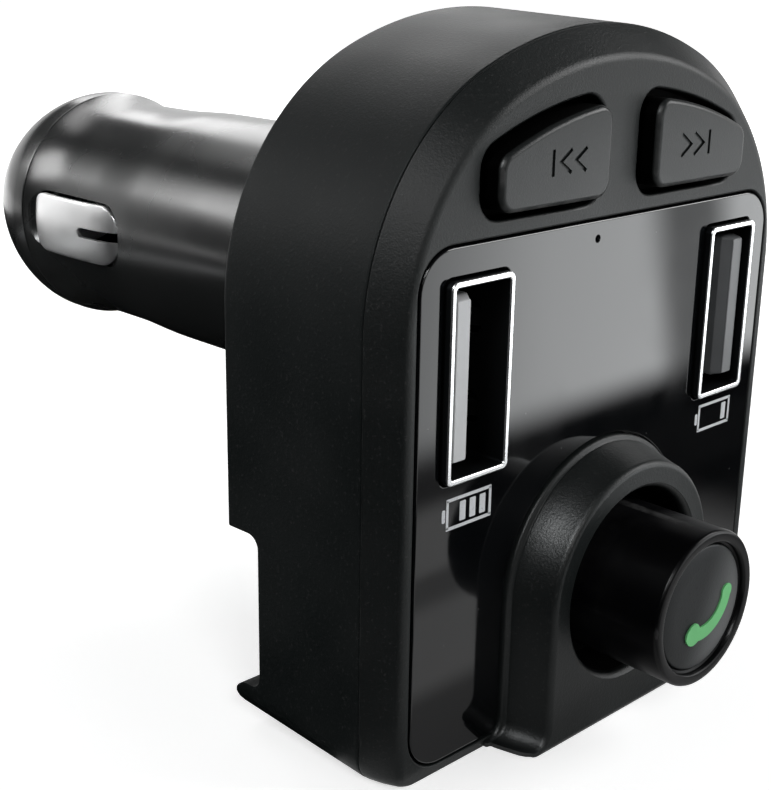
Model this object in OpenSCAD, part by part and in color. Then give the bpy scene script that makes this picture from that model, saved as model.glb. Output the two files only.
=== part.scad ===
// Car FM transmitter: an arch-shaped head with two charging sockets, two skip buttons and
// a turning call knob, carried by a round plug for a vehicle's 12 V socket.
// The plug axis is the Y axis and the plug points along +Y. The origin lies on that axis in
// the plane of the head's back face, and the head's front face looks along -Y. +Z runs from
// the flat end of the head to the crown of its arch.

/* [Head] */
// Width of the bezel at its widest outline
head_w = 43.7; // [42.6:0.1:46]
// Depth of the head from the front face to the back face
head_d = 15; // [14.8:0.1:18]
// Distance from the plug axis to the flat end
base_h = 28.9; // [28.4:0.1:31]
// Height of the arch's crown above the plug axis
arch_h = 20.2; // [19.8:0.1:21.5]
// Distance of the shoulders' centres from the middle of the head
shoulder_in = 4.45; // [4:0.05:5]
// How much the crown rises above the top of the shoulders' circles
crown_lift = 0.9; // [0.7:0.05:1.2]
// Corner radius at the flat end
base_corner_r = 2.4; // [2.2:0.1:4]
// How much the rear shell widens on each side towards the back
head_draft = 0.6; // [0:0.05:0.8]
// How much the rear shell's flat end rises towards the back
base_rise = 0.6; // [0:0.05:0.8]
// Wall of the rear shell
shell_wall = 1.6; // [1.4:0.1:2]
// Rounding of the back edge
back_edge = 0.5; // [0.2:0.1:0.8]

/* [Bezel] */
// Inset and depth of the chamfer round the front
bezel_chamfer = 2.05; // [1.6:0.05:2.4]
// Thickness of the front plate
plate_t = 1.6; // [1.5:0.1:2]
// Side wall of the bezel behind the front plate
bezel_wall = 2.2; // [2:0.1:2.4]
// How far the bezel reaches into the rear shell
lap_len = 1.5; // [1:0.1:2]
// Wall of the rear shell outside the lap
lap_shell = 0.9; // [0.7:0.05:1]

/* [Finger step] */
// Depth of the step cut into the back, near the flat end
step_d = 3.3; // [2.6:0.1:3.6]
// Distance from the plug's flange down to the top of the step
step_gap = 1.8; // [1.7:0.1:3]
// Height of the catch at the foot of the step
catch_h = 3.6; // [3:0.1:5]
// Distance from the back face to the end of the catch
catch_back = 0.5; // [0.3:0.05:1]

/* [Panel] */
// Strip left between the panel and each side of the head
panel_side = 2.9; // [2.75:0.05:3.3]
// Strip of bezel left between the panel and the buttons' wells
panel_web = 1.16; // [0.9:0.02:1.6]
// Strip of bezel left under the panel
panel_foot = 0.74; // [0.5:0.02:0.9]
// Thickness of the panel
panel_t = 1; // [0.8:0.05:1.1]
// Corner radius of the panel
panel_r = 2.8; // [2:0.1:3.4]
// Gap round the panel
panel_gap = 0.15; // [0.1:0.01:0.2]

/* [Buttons] */
// Distance from the middle of the head to a button's inner edge
button_in = 2.5; // [2.3:0.05:3]
// Distance from a button's outer edge to the side of the head
button_side = 8.55; // [8.2:0.05:9.3]
// Height of a button's lower edge above the plug axis
button_low = 9.2; // [9:0.05:9.8]
// Height of the buttons' upper arc above the plug axis, in the middle of the head
button_high = 15.5; // [15:0.05:15.7]
// Radius of the buttons' upper arc
button_arc_r = 32; // [29:0.5:36]
// Corner radius of a button
button_r = 1.2; // [0.9:0.05:1.4]
// Gap between a button and its well
button_gap = 0.6; // [0.4:0.05:0.65]
// How far a button stands out of the front face
button_proud = 1.2; // [0.9:0.1:1.6]
// Rounding of a button's front edge
button_edge = 0.4; // [0.2:0.05:0.5]
// Travel of a button
button_travel = 0.4; // [0.3:0.05:0.5]

/* [Charging sockets] */
// Distance from the side of the head to a socket's middle
port_side = 8; // [7.75:0.05:8.3]
// Height of the sockets' middle, below the plug axis where it is negative
port_z = -1.25; // [-1.5:0.05:-0.9]
// Long side of a socket's opening
port_l = 12.5; // [12.3:0.05:12.7]
// Short side of a socket's opening
port_w = 5; // [4.9:0.05:5.2]
// Sheet thickness of a socket's shell
port_sheet = 0.3; // [0.25:0.01:0.35]
// Extra width of the rolled rim at a socket's mouth
port_rim = 0.1; // [0.05:0.01:0.15]
// How far a socket's rim stands out of the front face
port_proud = 0.6; // [0.4:0.05:0.8]
// Length of a socket's shell
port_len = 12; // [11.6:0.1:12.2]
// Thickness of the contact tongue
tongue_t = 1.84; // [1.7:0.02:1.9]
// Width of the contact tongue
tongue_w = 11.1; // [10.8:0.05:11.3]
// Space between the tongue and the shell wall behind it
tongue_back = 0.4; // [0.35:0.05:0.6]
// How far the tongue lies behind the mouth
tongue_in = 1.4; // [1:0.1:2]

/* [Knob] */
// Height of the knob axis above the flat end
knob_up = 10.4; // [10.1:0.1:10.6]
// Radius of the knob
knob_r = 5.7; // [5.4:0.05:5.9]
// Distance from the front face to the knob's front
knob_out = 9.7; // [9:0.1:11]
// Radius of the disc in the knob's front
disc_r = 4.6; // [4.4:0.05:4.7]
// How far the disc lies behind the knob's front ring
disc_in = 0.35; // [0.2:0.05:0.5]
// Travel of the knob when it is pressed
knob_travel = 0.5; // [0.3:0.05:0.55]
// Radius of the raised tower round the knob, at its foot
tower_r = 10.05; // [9.9:0.05:10.2]
// How far the tower stands out of the front face
tower_out = 3.7; // [3.2:0.1:4.2]
// How much the tower narrows on each side towards its front
tower_taper = 0.7; // [0.4:0.05:0.8]
// Rounding of the tower's front edge
tower_edge = 0.5; // [0.4:0.05:0.9]
// How far the tower flares out to each side at the flat end
toe_r = 1.5; // [1.2:0.05:1.8]
// Height of the flare's outer end
toe_land = 0.3; // [0.2:0.05:0.5]
// Radius of the dish that the knob stands in
dish_r = 7; // [6.9:0.05:7.2]
// Chamfer at the dish's mouth
dish_chamfer = 0.6; // [0.4:0.05:0.7]
// Radius of the encoder's shaft
shaft_r = 3; // [2.8:0.05:3.1]

/* [Plug] */
// Radius of the plug barrel
plug_r = 10.4; // [10.25:0.01:10.45]
// Length of the barrel's end that narrows and flares again
flare_len = 17; // [16.5:0.5:18]
// How much the barrel narrows at its waist, between the side contacts
waist_in = 0.27; // [0.2:0.01:0.35]
// Length of the barrel behind the nose
plug_len = 46; // [45.9:0.1:47]
// How much wider the nose is than the barrel, on each side
nose_flare = 0.45; // [0.3:0.05:0.6]
// Share of the nose's radius that is left at its flat end
nose_end_share = 0.747; // [0.71:0.001:0.79]
// Length of the nose
nose_len = 8.5; // [8:0.1:9.5]
// Length of the nose's widest, straight part
nose_land = 1.5; // [1:0.1:2]
// Wall of the barrel
plug_wall = 1.7; // [1.5:0.05:1.9]
// Radius of the centre contact
tip_r = 3.3; // [3.1:0.05:3.5]
// How far the centre contact stands out of the nose
tip_out = 5; // [4.5:0.1:5.4]
// Travel of the centre contact
tip_travel = 3; // [2.5:0.1:3.2]
// Wire diameter of the centre contact's spring
spring_wire = 0.6; // [0.5:0.02:0.7]
// Turns of the spring
spring_turns = 10; // [8:1:12]

/* [Side contacts] */
// Distance from a contact's slot to the nose
slot_end = 1; // [0.7:0.1:1.2]
// Length of the slot
slot_len = 14; // [13.6:0.1:14.2]
// Width of the slot
slot_w = 5.6; // [5.2:0.1:6]
// Sheet thickness of a side contact
leaf_t = 0.4; // [0.3:0.02:0.5]
// How far a side contact bulges out of the barrel
leaf_out = 0.8; // [0.4:0.05:1]
// Width of the slit that forks a side contact
fork_w = 0.9; // [0.7:0.05:1.2]
// Length of the slit from the contact's end
fork_len = 5; // [3.5:0.1:6]
// Travel of a side contact
leaf_travel = 1; // [0.6:0.1:1.1]

/* [Boards] */
// Thickness of the main board
board_t = 1.2; // [1:0.05:1.3]
// Distance from the front face to the main board
board_in = 8.4; // [8.2:0.05:8.5]
// Thickness of the power board in the barrel
power_t = 1; // [0.8:0.05:1.2]
// Distance from the power board's edges to the barrel's wall
power_side = 1.3; // [1.1:0.1:1.7]
// Distance from the power board's end to the side contacts' slots
power_gap = 3; // [2.8:0.1:4]

/* [Hidden] */

// Smoothness of round faces
$fn = 64;
// Overrun of every cut
cut = 0.5;
// Gap between pieces that sit in each other
seat_gap = 0.05;
// Gap between pieces that only pass each other
free_gap = 0.3;

// Places along the plug axis
front_y = -head_d;
plate_y = front_y + plate_t;
chamfer_y = front_y + bezel_chamfer;
board_y = front_y + board_in;
board_back = board_y + board_t;
lap_y = chamfer_y + lap_len;
wall_y = -shell_wall;
nose_y = plug_len + nose_len;
waist_r = plug_r - waist_in;
nose_r = plug_r + nose_flare;
nose_end_r = nose_r * nose_end_share;
slot_start = plug_len - slot_end - slot_len;
power_len = slot_start - power_gap;

// The arch: two shoulders and a crown, tangent to each other
half_w = head_w / 2;
base_z = -base_h;
shoulder_r = half_w - shoulder_in;
shoulder_z = arch_h - crown_lift - shoulder_r;
crown_r = (pow(shoulder_in, 2) + pow(shoulder_r + crown_lift, 2) - pow(shoulder_r, 2)) / (2 * crown_lift);
crown_z = arch_h - crown_r;
crown_a = atan2(shoulder_z - crown_z, shoulder_in);
corner_steps = 5;
shoulder_steps = 14;
crown_steps = 12;
corner_min = 0.9;
button_out = half_w - button_side;

function arc(c, r, a0, a1, n, first = 0) =
    [for (i = [first : n]) c + r * [cos(a0 + (a1 - a0) * i / n), sin(a0 + (a1 - a0) * i / n)]];

// Outline of the head in X and Z, grown outwards by e, with its flat end raised by lift
function arch_pts(e, lift = 0) =
    let (c = max(corner_min, base_corner_r + e), w = half_w + e, z = base_z + lift)
    concat(
        arc([c - w, z + c], c, 180, 270, corner_steps),
        arc([w - c, z + c], c, 270, 360, corner_steps),
        arc([shoulder_in, shoulder_z], shoulder_r + e, 0, crown_a, shoulder_steps),
        arc([0, crown_z], crown_r + e, crown_a, 180 - crown_a, crown_steps, 1),
        arc([-shoulder_in, shoulder_z], shoulder_r + e, 180 - crown_a, 180, shoulder_steps, 1)
    );

// Outline of a D-shaped button on the +X side, grown outwards by e
function button_pts(e) =
    let (
        xi = button_in - e, xo = button_out + e, z = button_low - e,
        r = button_r + e, arc_r = button_arc_r + e,
        zc = button_high - button_arc_r,
        outer = [xo - r, zc + sqrt(pow(arc_r - r, 2) - pow(xo - r, 2))],
        inner = [xi + r, zc + sqrt(pow(arc_r - r, 2) - pow(xi + r, 2))],
        ao = atan2(outer[1] - zc, outer[0]), ai = atan2(inner[1] - zc, inner[0])
    )
    concat(
        arc([xi + r, z + r], r, 180, 270, corner_steps),
        arc([xo - r, z + r], r, 270, 360, corner_steps),
        arc(outer, r, 0, ao, corner_steps),
        arc([0, zc], arc_r, ao, ai, corner_steps, 1),
        arc(inner, r, ai, 180, corner_steps, 1)
    );

// Outline of the knob's tower, round at the top and flared to both sides at the flat end
tower_steps = 32;
knob_z = base_z + knob_up;
toe_z = base_z + toe_land + toe_r;
function tower_pts(r) = concat(
    [[-r - toe_r, base_z], [r + toe_r, base_z]],
    arc([r + toe_r, toe_z], toe_r, 270, 180, corner_steps),
    arc([0, knob_z], r, 0, 180, tower_steps),
    arc([-r - toe_r, toe_z], toe_r, 360, 270, corner_steps)
);

// A solid through outlines of the same number of points, each given as [y, points]
module loft(sections) {
    n = len(sections[0][1]);
    m = len(sections);
    polyhedron(
        points = [for (s = sections) for (p = s[1]) [p[0], s[0], p[1]]],
        faces = concat(
            [[for (i = [n - 1 : -1 : 0]) i]],
            [[for (i = [0 : n - 1]) (m - 1) * n + i]],
            [for (k = [0 : m - 2]) for (i = [0 : n - 1]) each [
                [k * n + i, k * n + (i + 1) % n, (k + 1) * n + (i + 1) % n],
                [k * n + i, (k + 1) * n + (i + 1) % n, (k + 1) * n + i]
            ]]
        )
    );
}

// A shape drawn in X and Z, made solid from y0 along +Y
module plate(y0, t) {
    translate([0, y0 + t, 0]) rotate([90, 0, 0]) linear_extrude(height = t) children();
}

// A round bar along +Y at [x, z], from y0
module bar(x, z, y0, l, r) {
    translate([x, y0, z]) rotate([-90, 0, 0]) cylinder(h = l, r = r);
}

// A profile of [radius, y] points turned about the line along Y through [x, z]
module turned(x, z, pts) {
    translate([x, 0, z]) rotate([-90, 0, 0]) rotate_extrude() polygon(pts);
}

// A box from its low corner and its size
module block(low, size) {
    translate(low) cube(size);
}

// A rectangle with round corners, centred on c
module soft_rect(c, w, h, r) {
    translate(c) {
        square([w - 2 * r, h], center = true);
        square([w, h - 2 * r], center = true);
        for (sx = [-1, 1]) for (sy = [-1, 1])
            translate([sx * (w / 2 - r), sy * (h / 2 - r)]) circle(r = r);
    }
}

// Rear shell

flange_lip = 1.4;
flange_r = plug_r + flange_lip;
boss_below = 2.7;
boss_low_z = port_z - port_l / 2 - boss_below;
screw_clear = 3.4;
step_z = -max(flange_r + step_gap, screw_clear - boss_low_z);
step_top = step_z - base_z;
step_r = 1;
catch_z = base_z + catch_h;
catch_low = base_z + base_rise;
catch_r = (catch_z - catch_low) / 2;
catch_end = -catch_back - catch_r;
rear_bore_r = plug_r + seat_gap;

// The finger step in Y and Z: a pocket with round corners above a round-nosed catch
module step_profile() {
    difference() {
        union() {
            translate([-step_d, base_z - cut]) square([step_d + cut, step_top + cut - step_r]);
            translate([step_r - step_d, base_z - cut]) square([step_d - step_r + cut, step_top + cut]);
            translate([step_r - step_d, step_z - step_r]) circle(r = step_r);
        }
        translate([-step_d - cut, base_z - 2 * cut])
            square([catch_end + step_d + cut, catch_h + 2 * cut]);
        translate([catch_end, catch_low + catch_r]) circle(r = catch_r);
    }
}

module rear_housing() {
    color("#1c1d1f") difference() {
        loft([
            [chamfer_y, arch_pts(0)],
            [-back_edge, arch_pts(head_draft, base_rise)],
            [0, arch_pts(head_draft - back_edge, base_rise + back_edge / 2)]
        ]);
        loft([
            [chamfer_y - cut, arch_pts(-lap_shell, lap_shell)],
            [lap_y + seat_gap, arch_pts(-lap_shell, lap_shell)]
        ]);
        difference() {
            loft([
                [lap_y, arch_pts(-shell_wall, shell_wall)],
                [wall_y, arch_pts(head_draft - shell_wall, base_rise + shell_wall)]
            ]);
            block([-head_w, -step_d - shell_wall, base_z - cut],
                  [2 * head_w, step_d + shell_wall + cut, step_top + shell_wall + cut]);
        }
        translate([-head_w, 0, 0]) rotate([90, 0, 90]) linear_extrude(height = 2 * head_w) step_profile();
        bar(0, 0, wall_y - cut, shell_wall + 2 * cut, rear_bore_r);
    }
}

// Front bezel

panel_w = head_w - 2 * panel_side;
panel_top = button_low - button_gap - panel_web;
panel_h = panel_top - base_z - panel_foot;
panel_z = panel_top - panel_h / 2;
mic_x = -2;
mic_z = 6.2;
mic_hole_r = 0.25;
lap_gap = 0.1;
tower_step = 0.35;
tower_y = front_y - tower_out;
dish_deep = 1;
floor_y = plate_y - dish_deep;
bushing_r = 3.5;
boss_r = 1.9;
boss_hole_r = 0.9;
boss_side = 4.55;
boss_top = [4.2, 5.5];
boss_side_x = half_w - boss_side;
boss_at = [[-boss_side_x, boss_low_z], [boss_side_x, boss_low_z], boss_top];
port_x = half_w - port_side;
encoder_size = 12;
display_side = 2.05;
display_above = 4.3;
display_below = 4.84;
display_w = 2 * (port_x - port_w / 2 - display_side);
display_h = panel_top - display_below - knob_z - encoder_size / 2 - display_above;
display_z = panel_top - display_below - display_h / 2;
display_frame = 0.5;

// Openings in X and Z for both sockets' rims, wider by e on each side
module port_holes(e) {
    rim = port_sheet + port_rim + e;
    for (s = [-1, 1])
        soft_rect([s * port_x, port_z], port_w + 2 * rim, port_l + 2 * rim, rim);
}

// The tower: it leans in from a fine step at its foot and rolls over at its front edge
module tower() {
    front_r = tower_r - tower_step - tower_taper;
    loft([
        [tower_y, tower_pts(front_r - tower_edge)],
        for (a = [30, 60, 90])
            [tower_y + tower_edge * (1 - cos(a)), tower_pts(front_r - tower_edge * (1 - sin(a)))],
        [front_y - tower_step, tower_pts(tower_r - tower_step)],
        [front_y - tower_step / 2, tower_pts(tower_r)],
        [plate_y, tower_pts(tower_r)]
    ]);
}

module bezel_blank() {
    difference() {
        union() {
            loft([
                [front_y, arch_pts(-bezel_chamfer)],
                [chamfer_y, arch_pts(0)]
            ]);
            loft([
                [chamfer_y - seat_gap, arch_pts(-lap_shell - lap_gap, lap_shell + lap_gap)],
                [lap_y, arch_pts(-lap_shell - lap_gap, lap_shell + lap_gap)]
            ]);
        }
        loft([
            [plate_y, arch_pts(-bezel_wall, bezel_wall)],
            [lap_y + cut, arch_pts(-bezel_wall, bezel_wall)]
        ]);
        plate(front_y - cut, panel_t + cut)
            soft_rect([0, panel_z], panel_w + 2 * panel_gap, panel_h + 2 * panel_gap, panel_r + panel_gap);
        for (s = [0, 1]) mirror([s, 0, 0]) loft([
            [front_y - cut, button_pts(button_gap)],
            [plate_y + cut, button_pts(button_gap)]
        ]);
        plate(front_y - cut, plate_t + 2 * cut) {
            port_holes(seat_gap);
            translate([0, display_z])
                square([display_w - 2 * display_frame, display_h - 2 * display_frame], center = true);
        }
        bar(mic_x, mic_z, front_y - cut, plate_t + 2 * cut, mic_hole_r);
    }
}

module front_bezel() {
    color("#242527") difference() {
        union() {
            bezel_blank();
            tower();
            for (p = boss_at) bar(p[0], p[1], plate_y - seat_gap, board_y - plate_y + seat_gap, boss_r);
        }
        turned(0, knob_z, [
            [0, floor_y], [dish_r, floor_y], [dish_r, tower_y + dish_chamfer],
            [dish_r + dish_chamfer, tower_y], [dish_r + dish_chamfer, tower_y - cut], [0, tower_y - cut]
        ]);
        bar(0, knob_z, floor_y - cut, dish_deep + 2 * cut, bushing_r + free_gap);
        for (p = boss_at) bar(p[0], p[1], plate_y, board_y - plate_y + cut, boss_hole_r);
    }
}

// Dark panel

module face_panel() {
    color("#3b4046") plate(front_y, panel_t) difference() {
        soft_rect([0, panel_z], panel_w, panel_h, panel_r);
        polygon(tower_pts(tower_r + panel_gap));
        port_holes(panel_gap);
        translate([mic_x, mic_z]) circle(r = mic_hole_r);
    }
}

// Skip buttons, drawn on the +X side

button_flange = 0.45;
button_flange_t = 0.8;
button_float = 0.1;
button_mid = (button_in + button_out) / 2;
switch_rise = 2.5;
switch_z = button_low + switch_rise;
switch_size = 6;
switch_h = 3.5;
stem_r = 1.75;
stem_out = 1.9;
stem_seat = 0.5;
post_r = 1.2;
flange_y = plate_y + button_float;
stem_y = board_y - switch_h - stem_out;

module button() {
    top_y = front_y - button_proud;
    loft([
        for (a = [0, 45, 90])
            [top_y + button_edge * (1 - cos(a)), button_pts(-button_edge * (1 - sin(a)))],
        [flange_y, button_pts(0)],
        [flange_y, button_pts(button_gap + button_flange)],
        [flange_y + button_flange_t, button_pts(button_gap + button_flange)]
    ]);
    bar(button_mid, switch_z, flange_y + button_flange_t - seat_gap,
        stem_y - flange_y - button_flange_t, post_r);
}

module button_left() {
    color("#26272a") mirror([1, 0, 0]) button();
}

module button_right() {
    color("#26272a") button();
}

// Key switches under the buttons

module key_switch() {
    color("#303236") difference() {
        block([button_mid - switch_size / 2, board_y - switch_h, switch_z - switch_size / 2],
              [switch_size, switch_h, switch_size]);
        bar(button_mid, switch_z, board_y - switch_h - cut,
            stem_seat + button_travel + free_gap + cut, stem_r + seat_gap);
    }
}

module switch_stem() {
    color("#8d8f92") bar(button_mid, switch_z, stem_y, stem_out + stem_seat, stem_r);
}

module switch_left() { mirror([1, 0, 0]) key_switch(); }
module switch_right() { key_switch(); }
module switch_stem_left() { mirror([1, 0, 0]) switch_stem(); }
module switch_stem_right() { switch_stem(); }

// Knob

knob_front = front_y - knob_out;
knob_edge = 0.3;
ring_bevel = 0.2;
disc_t = 1.2;
disc_dome = 0.12;
disc_y = knob_front + disc_in;
knob_float = 0.1;
knob_back = floor_y - knob_travel - knob_float;
knob_socket = 2.4;
shaft_front = knob_front + knob_socket;

module knob_body() {
    color("#17181a") turned(0, knob_z, [
        [shaft_r + seat_gap, knob_back], [knob_r, knob_back], [knob_r, knob_front + knob_edge],
        [knob_r - knob_edge, knob_front], [disc_r + ring_bevel + seat_gap, knob_front],
        [disc_r + seat_gap, knob_front + ring_bevel], [disc_r + seat_gap, disc_y + disc_t],
        [0, disc_y + disc_t], [0, shaft_front], [shaft_r + seat_gap, shaft_front]
    ]);
}

module knob_disc() {
    color("#4d5154") turned(0, knob_z, [
        [0, disc_y + disc_t], [disc_r, disc_y + disc_t], [disc_r, disc_y + disc_dome],
        [disc_r - disc_dome, disc_y], [0, disc_y]
    ]);
}

// The handset symbol on the disc: a curved grip, with an earpiece and a mouthpiece that
// reach to its hollow side
symbol_t = 0.12;
symbol_at = [0.2, 0.75];
symbol_r = 2.75;
symbol_w = 0.95;
symbol_a0 = -112;
symbol_a1 = 6;
ear_l = 1.2;
ear_w = 1.5;
ear_r = 0.4;

module handset() {
    translate(symbol_at) {
        intersection() {
            difference() {
                circle(r = symbol_r + symbol_w / 2);
                circle(r = symbol_r - symbol_w / 2);
            }
            polygon(concat([[0, 0]], arc([0, 0], 2 * symbol_r, symbol_a0, symbol_a1, corner_steps)));
        }
        for (a = [symbol_a0, symbol_a1])
            rotate(a) soft_rect([symbol_r + symbol_w / 2 - ear_l / 2, 0], ear_l, ear_w, ear_r);
    }
}

module call_symbol() {
    color("#5ccf7a") translate([0, 0, knob_z]) plate(disc_y - symbol_t, symbol_t) handset();
}

// Rotary encoder with its push switch

bushing_back = 0.2;
bushing_y = floor_y + bushing_back;
encoder_y = plate_y + 2 * free_gap;
shaft_deep = 3.4;
shaft_back = board_y - shaft_deep;
plunger_r = 2;
plunger_len = 1.8;
shaft_stop = shaft_back + knob_travel + free_gap;
plunger_stop = shaft_back + plunger_len + knob_travel + free_gap;

module encoder_body() {
    color("#777a7e") difference() {
        union() {
            block([-encoder_size / 2, encoder_y, knob_z - encoder_size / 2],
                  [encoder_size, board_y - encoder_y, encoder_size]);
            bar(0, knob_z, bushing_y, encoder_y - bushing_y + cut, bushing_r);
        }
        bar(0, knob_z, bushing_y - cut, shaft_stop - bushing_y + cut, shaft_r + seat_gap);
        bar(0, knob_z, shaft_stop - cut, plunger_stop - shaft_stop + cut, plunger_r + seat_gap);
    }
}

module encoder_shaft() {
    color("#b9bbbd") bar(0, knob_z, shaft_front, shaft_back - shaft_front, shaft_r);
}

module encoder_plunger() {
    color("#d9d4c4") bar(0, knob_z, shaft_back + seat_gap, plunger_len, plunger_r);
}

// Charging sockets, drawn on the +X side

port_y = front_y - port_proud;
port_corner = 0.5;
rim_len = 0.5;
tongue_root = 3;
tongue_x = port_x + port_w / 2 - tongue_back - tongue_t;
contact_t = 0.2;
contact_w = 1;
contact_inset = 0.6;
contact_l = port_len - tongue_root - tongue_in - contact_inset - free_gap;
contact_far = 3.5;
contact_near = 1;
contact_places = [-contact_far, -contact_near, contact_near, contact_far];

module usb_shell() {
    rim = port_sheet + port_rim;
    color("#c9ccce") difference() {
        union() {
            plate(port_y, rim_len)
                soft_rect([port_x, port_z], port_w + 2 * rim, port_l + 2 * rim, port_corner);
            plate(port_y, port_len)
                soft_rect([port_x, port_z], port_w + 2 * port_sheet, port_l + 2 * port_sheet, port_corner);
        }
        plate(port_y - cut, port_len + 2 * cut)
            soft_rect([port_x, port_z], port_w, port_l, port_corner - port_sheet);
    }
}

// The tongue lies near the wall that faces away from the middle of the head
module usb_insulator() {
    color("#b4b6b8") union() {
        plate(port_y + port_len - tongue_root, tongue_root)
            soft_rect([port_x, port_z], port_w - 2 * seat_gap, port_l - 2 * seat_gap,
                      port_corner - port_sheet);
        block([tongue_x, port_y + tongue_in, port_z - tongue_w / 2],
              [tongue_t, port_len - tongue_in - tongue_root / 2, tongue_w]);
    }
}

module usb_contacts() {
    color("#c8a24a") for (z = contact_places)
        block([tongue_x - contact_t, port_y + tongue_in + contact_inset, port_z + z - contact_w / 2],
              [contact_t, contact_l, contact_w]);
}

module usb_shell_left() { mirror([1, 0, 0]) usb_shell(); }
module usb_shell_right() { usb_shell(); }
module usb_insulator_left() { mirror([1, 0, 0]) usb_insulator(); }
module usb_insulator_right() { usb_insulator(); }
module usb_contacts_left() { mirror([1, 0, 0]) usb_contacts(); }
module usb_contacts_right() { usb_contacts(); }

// Display and microphone behind the panel

mic_r = 2;
mic_t = 1.5;
mic_drop = 1.1;
mic_lead_r = 0.3;
mic_lead_x = 0.9;

module display_module() {
    color("#101418")
        block([-display_w / 2, plate_y + seat_gap, display_z - display_h / 2],
              [display_w, board_y - plate_y - seat_gap, display_h]);
}

module microphone() {
    color("#9a9c9e") union() {
        bar(mic_x, mic_z - mic_drop, plate_y + seat_gap, mic_t, mic_r);
        for (s = [-1, 1])
            bar(mic_x + s * mic_lead_x, mic_z - mic_drop, plate_y + mic_t,
                board_y - plate_y - mic_t, mic_lead_r);
    }
}

// Main board and what it carries

board_inset = 2.6;
board_lift = 3;
screw_head_r = 1.6;
screw_head_h = 1.1;
screw_r = 0.85;
screw_len = 5;
radio_w = 13;
radio_h = 6.5;
radio_t = 1.8;
radio_z = 8.6;

module main_board() {
    color("#14532d") difference() {
        loft([
            [board_y, arch_pts(-board_inset, board_lift)],
            [board_back, arch_pts(-board_inset, board_lift)]
        ]);
        plate(board_y - cut, board_t + 2 * cut) port_holes(seat_gap);
        for (p = boss_at) bar(p[0], p[1], board_y - cut, board_t + 2 * cut, screw_r + seat_gap);
    }
}

module board_screws() {
    color("#a7a9ab") for (p = boss_at) {
        bar(p[0], p[1], board_back, screw_head_h, screw_head_r);
        bar(p[0], p[1], board_back - screw_len, screw_len + seat_gap, screw_r);
    }
}

module radio_module() {
    color("#c2c4c6")
        block([-radio_w / 2, board_back, radio_z], [radio_w, radio_t, radio_h]);
}

// Power board along the plug axis, with its parts on its upper face

link_pins = 6;
link_pitch = 2;
link_size = 0.6;
link_len = 4;
coil_size = 7;
coil_h = 4;
coil_r = 1.2;
coil_y = 5;
cap_r = 3;
cap_y = 14;
cap_end = 3;
cap_len = power_len - cap_end - cap_y;
lead_w = 3;
lead_t = 0.4;
lead_len = 7;
bore_r = plug_r - plug_wall;
power_half_w = bore_r - power_side;

module power_board() {
    color("#14532d")
        block([-power_half_w, board_back, -power_t / 2],
              [2 * power_half_w, power_len - board_back, power_t]);
}

module board_link() {
    color("#c8a24a") for (i = [0 : link_pins - 1])
        block([(i - (link_pins - 1) / 2) * link_pitch - link_size / 2, board_back, power_t / 2],
              [link_size, link_len, link_size]);
}

module power_inductor() {
    color("#3c3c40") translate([0, coil_y + coil_size / 2, power_t / 2])
        linear_extrude(height = coil_h) soft_rect([0, 0], coil_size, coil_size, coil_r);
}

module power_capacitor() {
    color("#2b3550") bar(0, power_t / 2 + cap_r, cap_y, cap_len, cap_r);
}

// Plug barrel: a flange behind the rear wall, a waist, a flare at the nose and a threaded
// neck that the nose screws on to

flange_t = 1.6;
plug_straight = plug_len - flare_len;
waist_back = 10;
waist_front = 5.5;
waist_start = plug_len - waist_back;
waist_end = plug_len - waist_front;
neck_step = 1.25;
neck_r = nose_r - neck_step;
neck_len = 4.5;
bulk_set = 0.6;
bulk_y = slot_start + bulk_set;
bulk_t = 1.4;
rivet_r = 1.4;
rivet_head_r = 3.2;
flare_shares = [[0.35, 0.12], [0.65, 0.4], [0.85, 0.7]];

module plug_barrel() {
    color("#1b1c1e") difference() {
        turned(0, 0, concat(
            [[bore_r, wall_y - flange_t], [flange_r, wall_y - flange_t], [flange_r, wall_y],
             [plug_r, wall_y], [plug_r, plug_straight], [waist_r, waist_start], [waist_r, waist_end]],
            [for (s = flare_shares)
                [waist_r + (nose_r - waist_r) * s[1], waist_end + (plug_len - waist_end) * s[0]]],
            [[nose_r, plug_len], [neck_r, plug_len], [neck_r, plug_len + neck_len],
             [bore_r, plug_len + neck_len], [bore_r, bulk_y + bulk_t],
             [rivet_r + seat_gap, bulk_y + bulk_t], [rivet_r + seat_gap, bulk_y], [bore_r, bulk_y]]
        ));
        for (s = [0, 1]) mirror([s, 0, 0]) contact_slot();
    }
}

// The slot reaches inwards far enough for a contact to spring in
slot_floor = bore_r - leaf_travel - leaf_t - 2 * free_gap;
slot_flat = 0.5;

module contact_slot() {
    translate([slot_floor, slot_start + slot_len / 2, 0]) rotate([90, 0, 90])
        linear_extrude(height = nose_r - slot_floor + cut)
            soft_rect([0, 0], slot_len, slot_w, slot_w / 2 - slot_flat);
}

// Nose: a screwed ring that rounds off towards the centre contact

nose_wall = 1.4;
nose_lip = 1.9;
nose_bore_r = nose_end_r - nose_lip;
nose_steps = 8;
nose_curve_share = 1.6;

// Radius of the nose at a share t of its rounded length
function nose_at(t) = nose_r - (nose_r - nose_end_r) * pow(t, nose_curve_share);

module nose_ring() {
    thread_end = plug_len + neck_len + seat_gap;
    color("#1b1c1e") turned(0, 0, concat(
        [[neck_r + seat_gap, plug_len], [nose_r, plug_len]],
        [for (i = [0 : nose_steps])
            [nose_at(i / nose_steps), plug_len + nose_land + (nose_len - nose_land) * i / nose_steps]],
        [[tip_r + 2 * seat_gap, nose_y], [tip_r + 2 * seat_gap, nose_y - nose_wall],
         [nose_bore_r, nose_y - nose_wall], [nose_bore_r, thread_end], [neck_r + seat_gap, thread_end]]
    ));
}

// Centre contact

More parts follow.
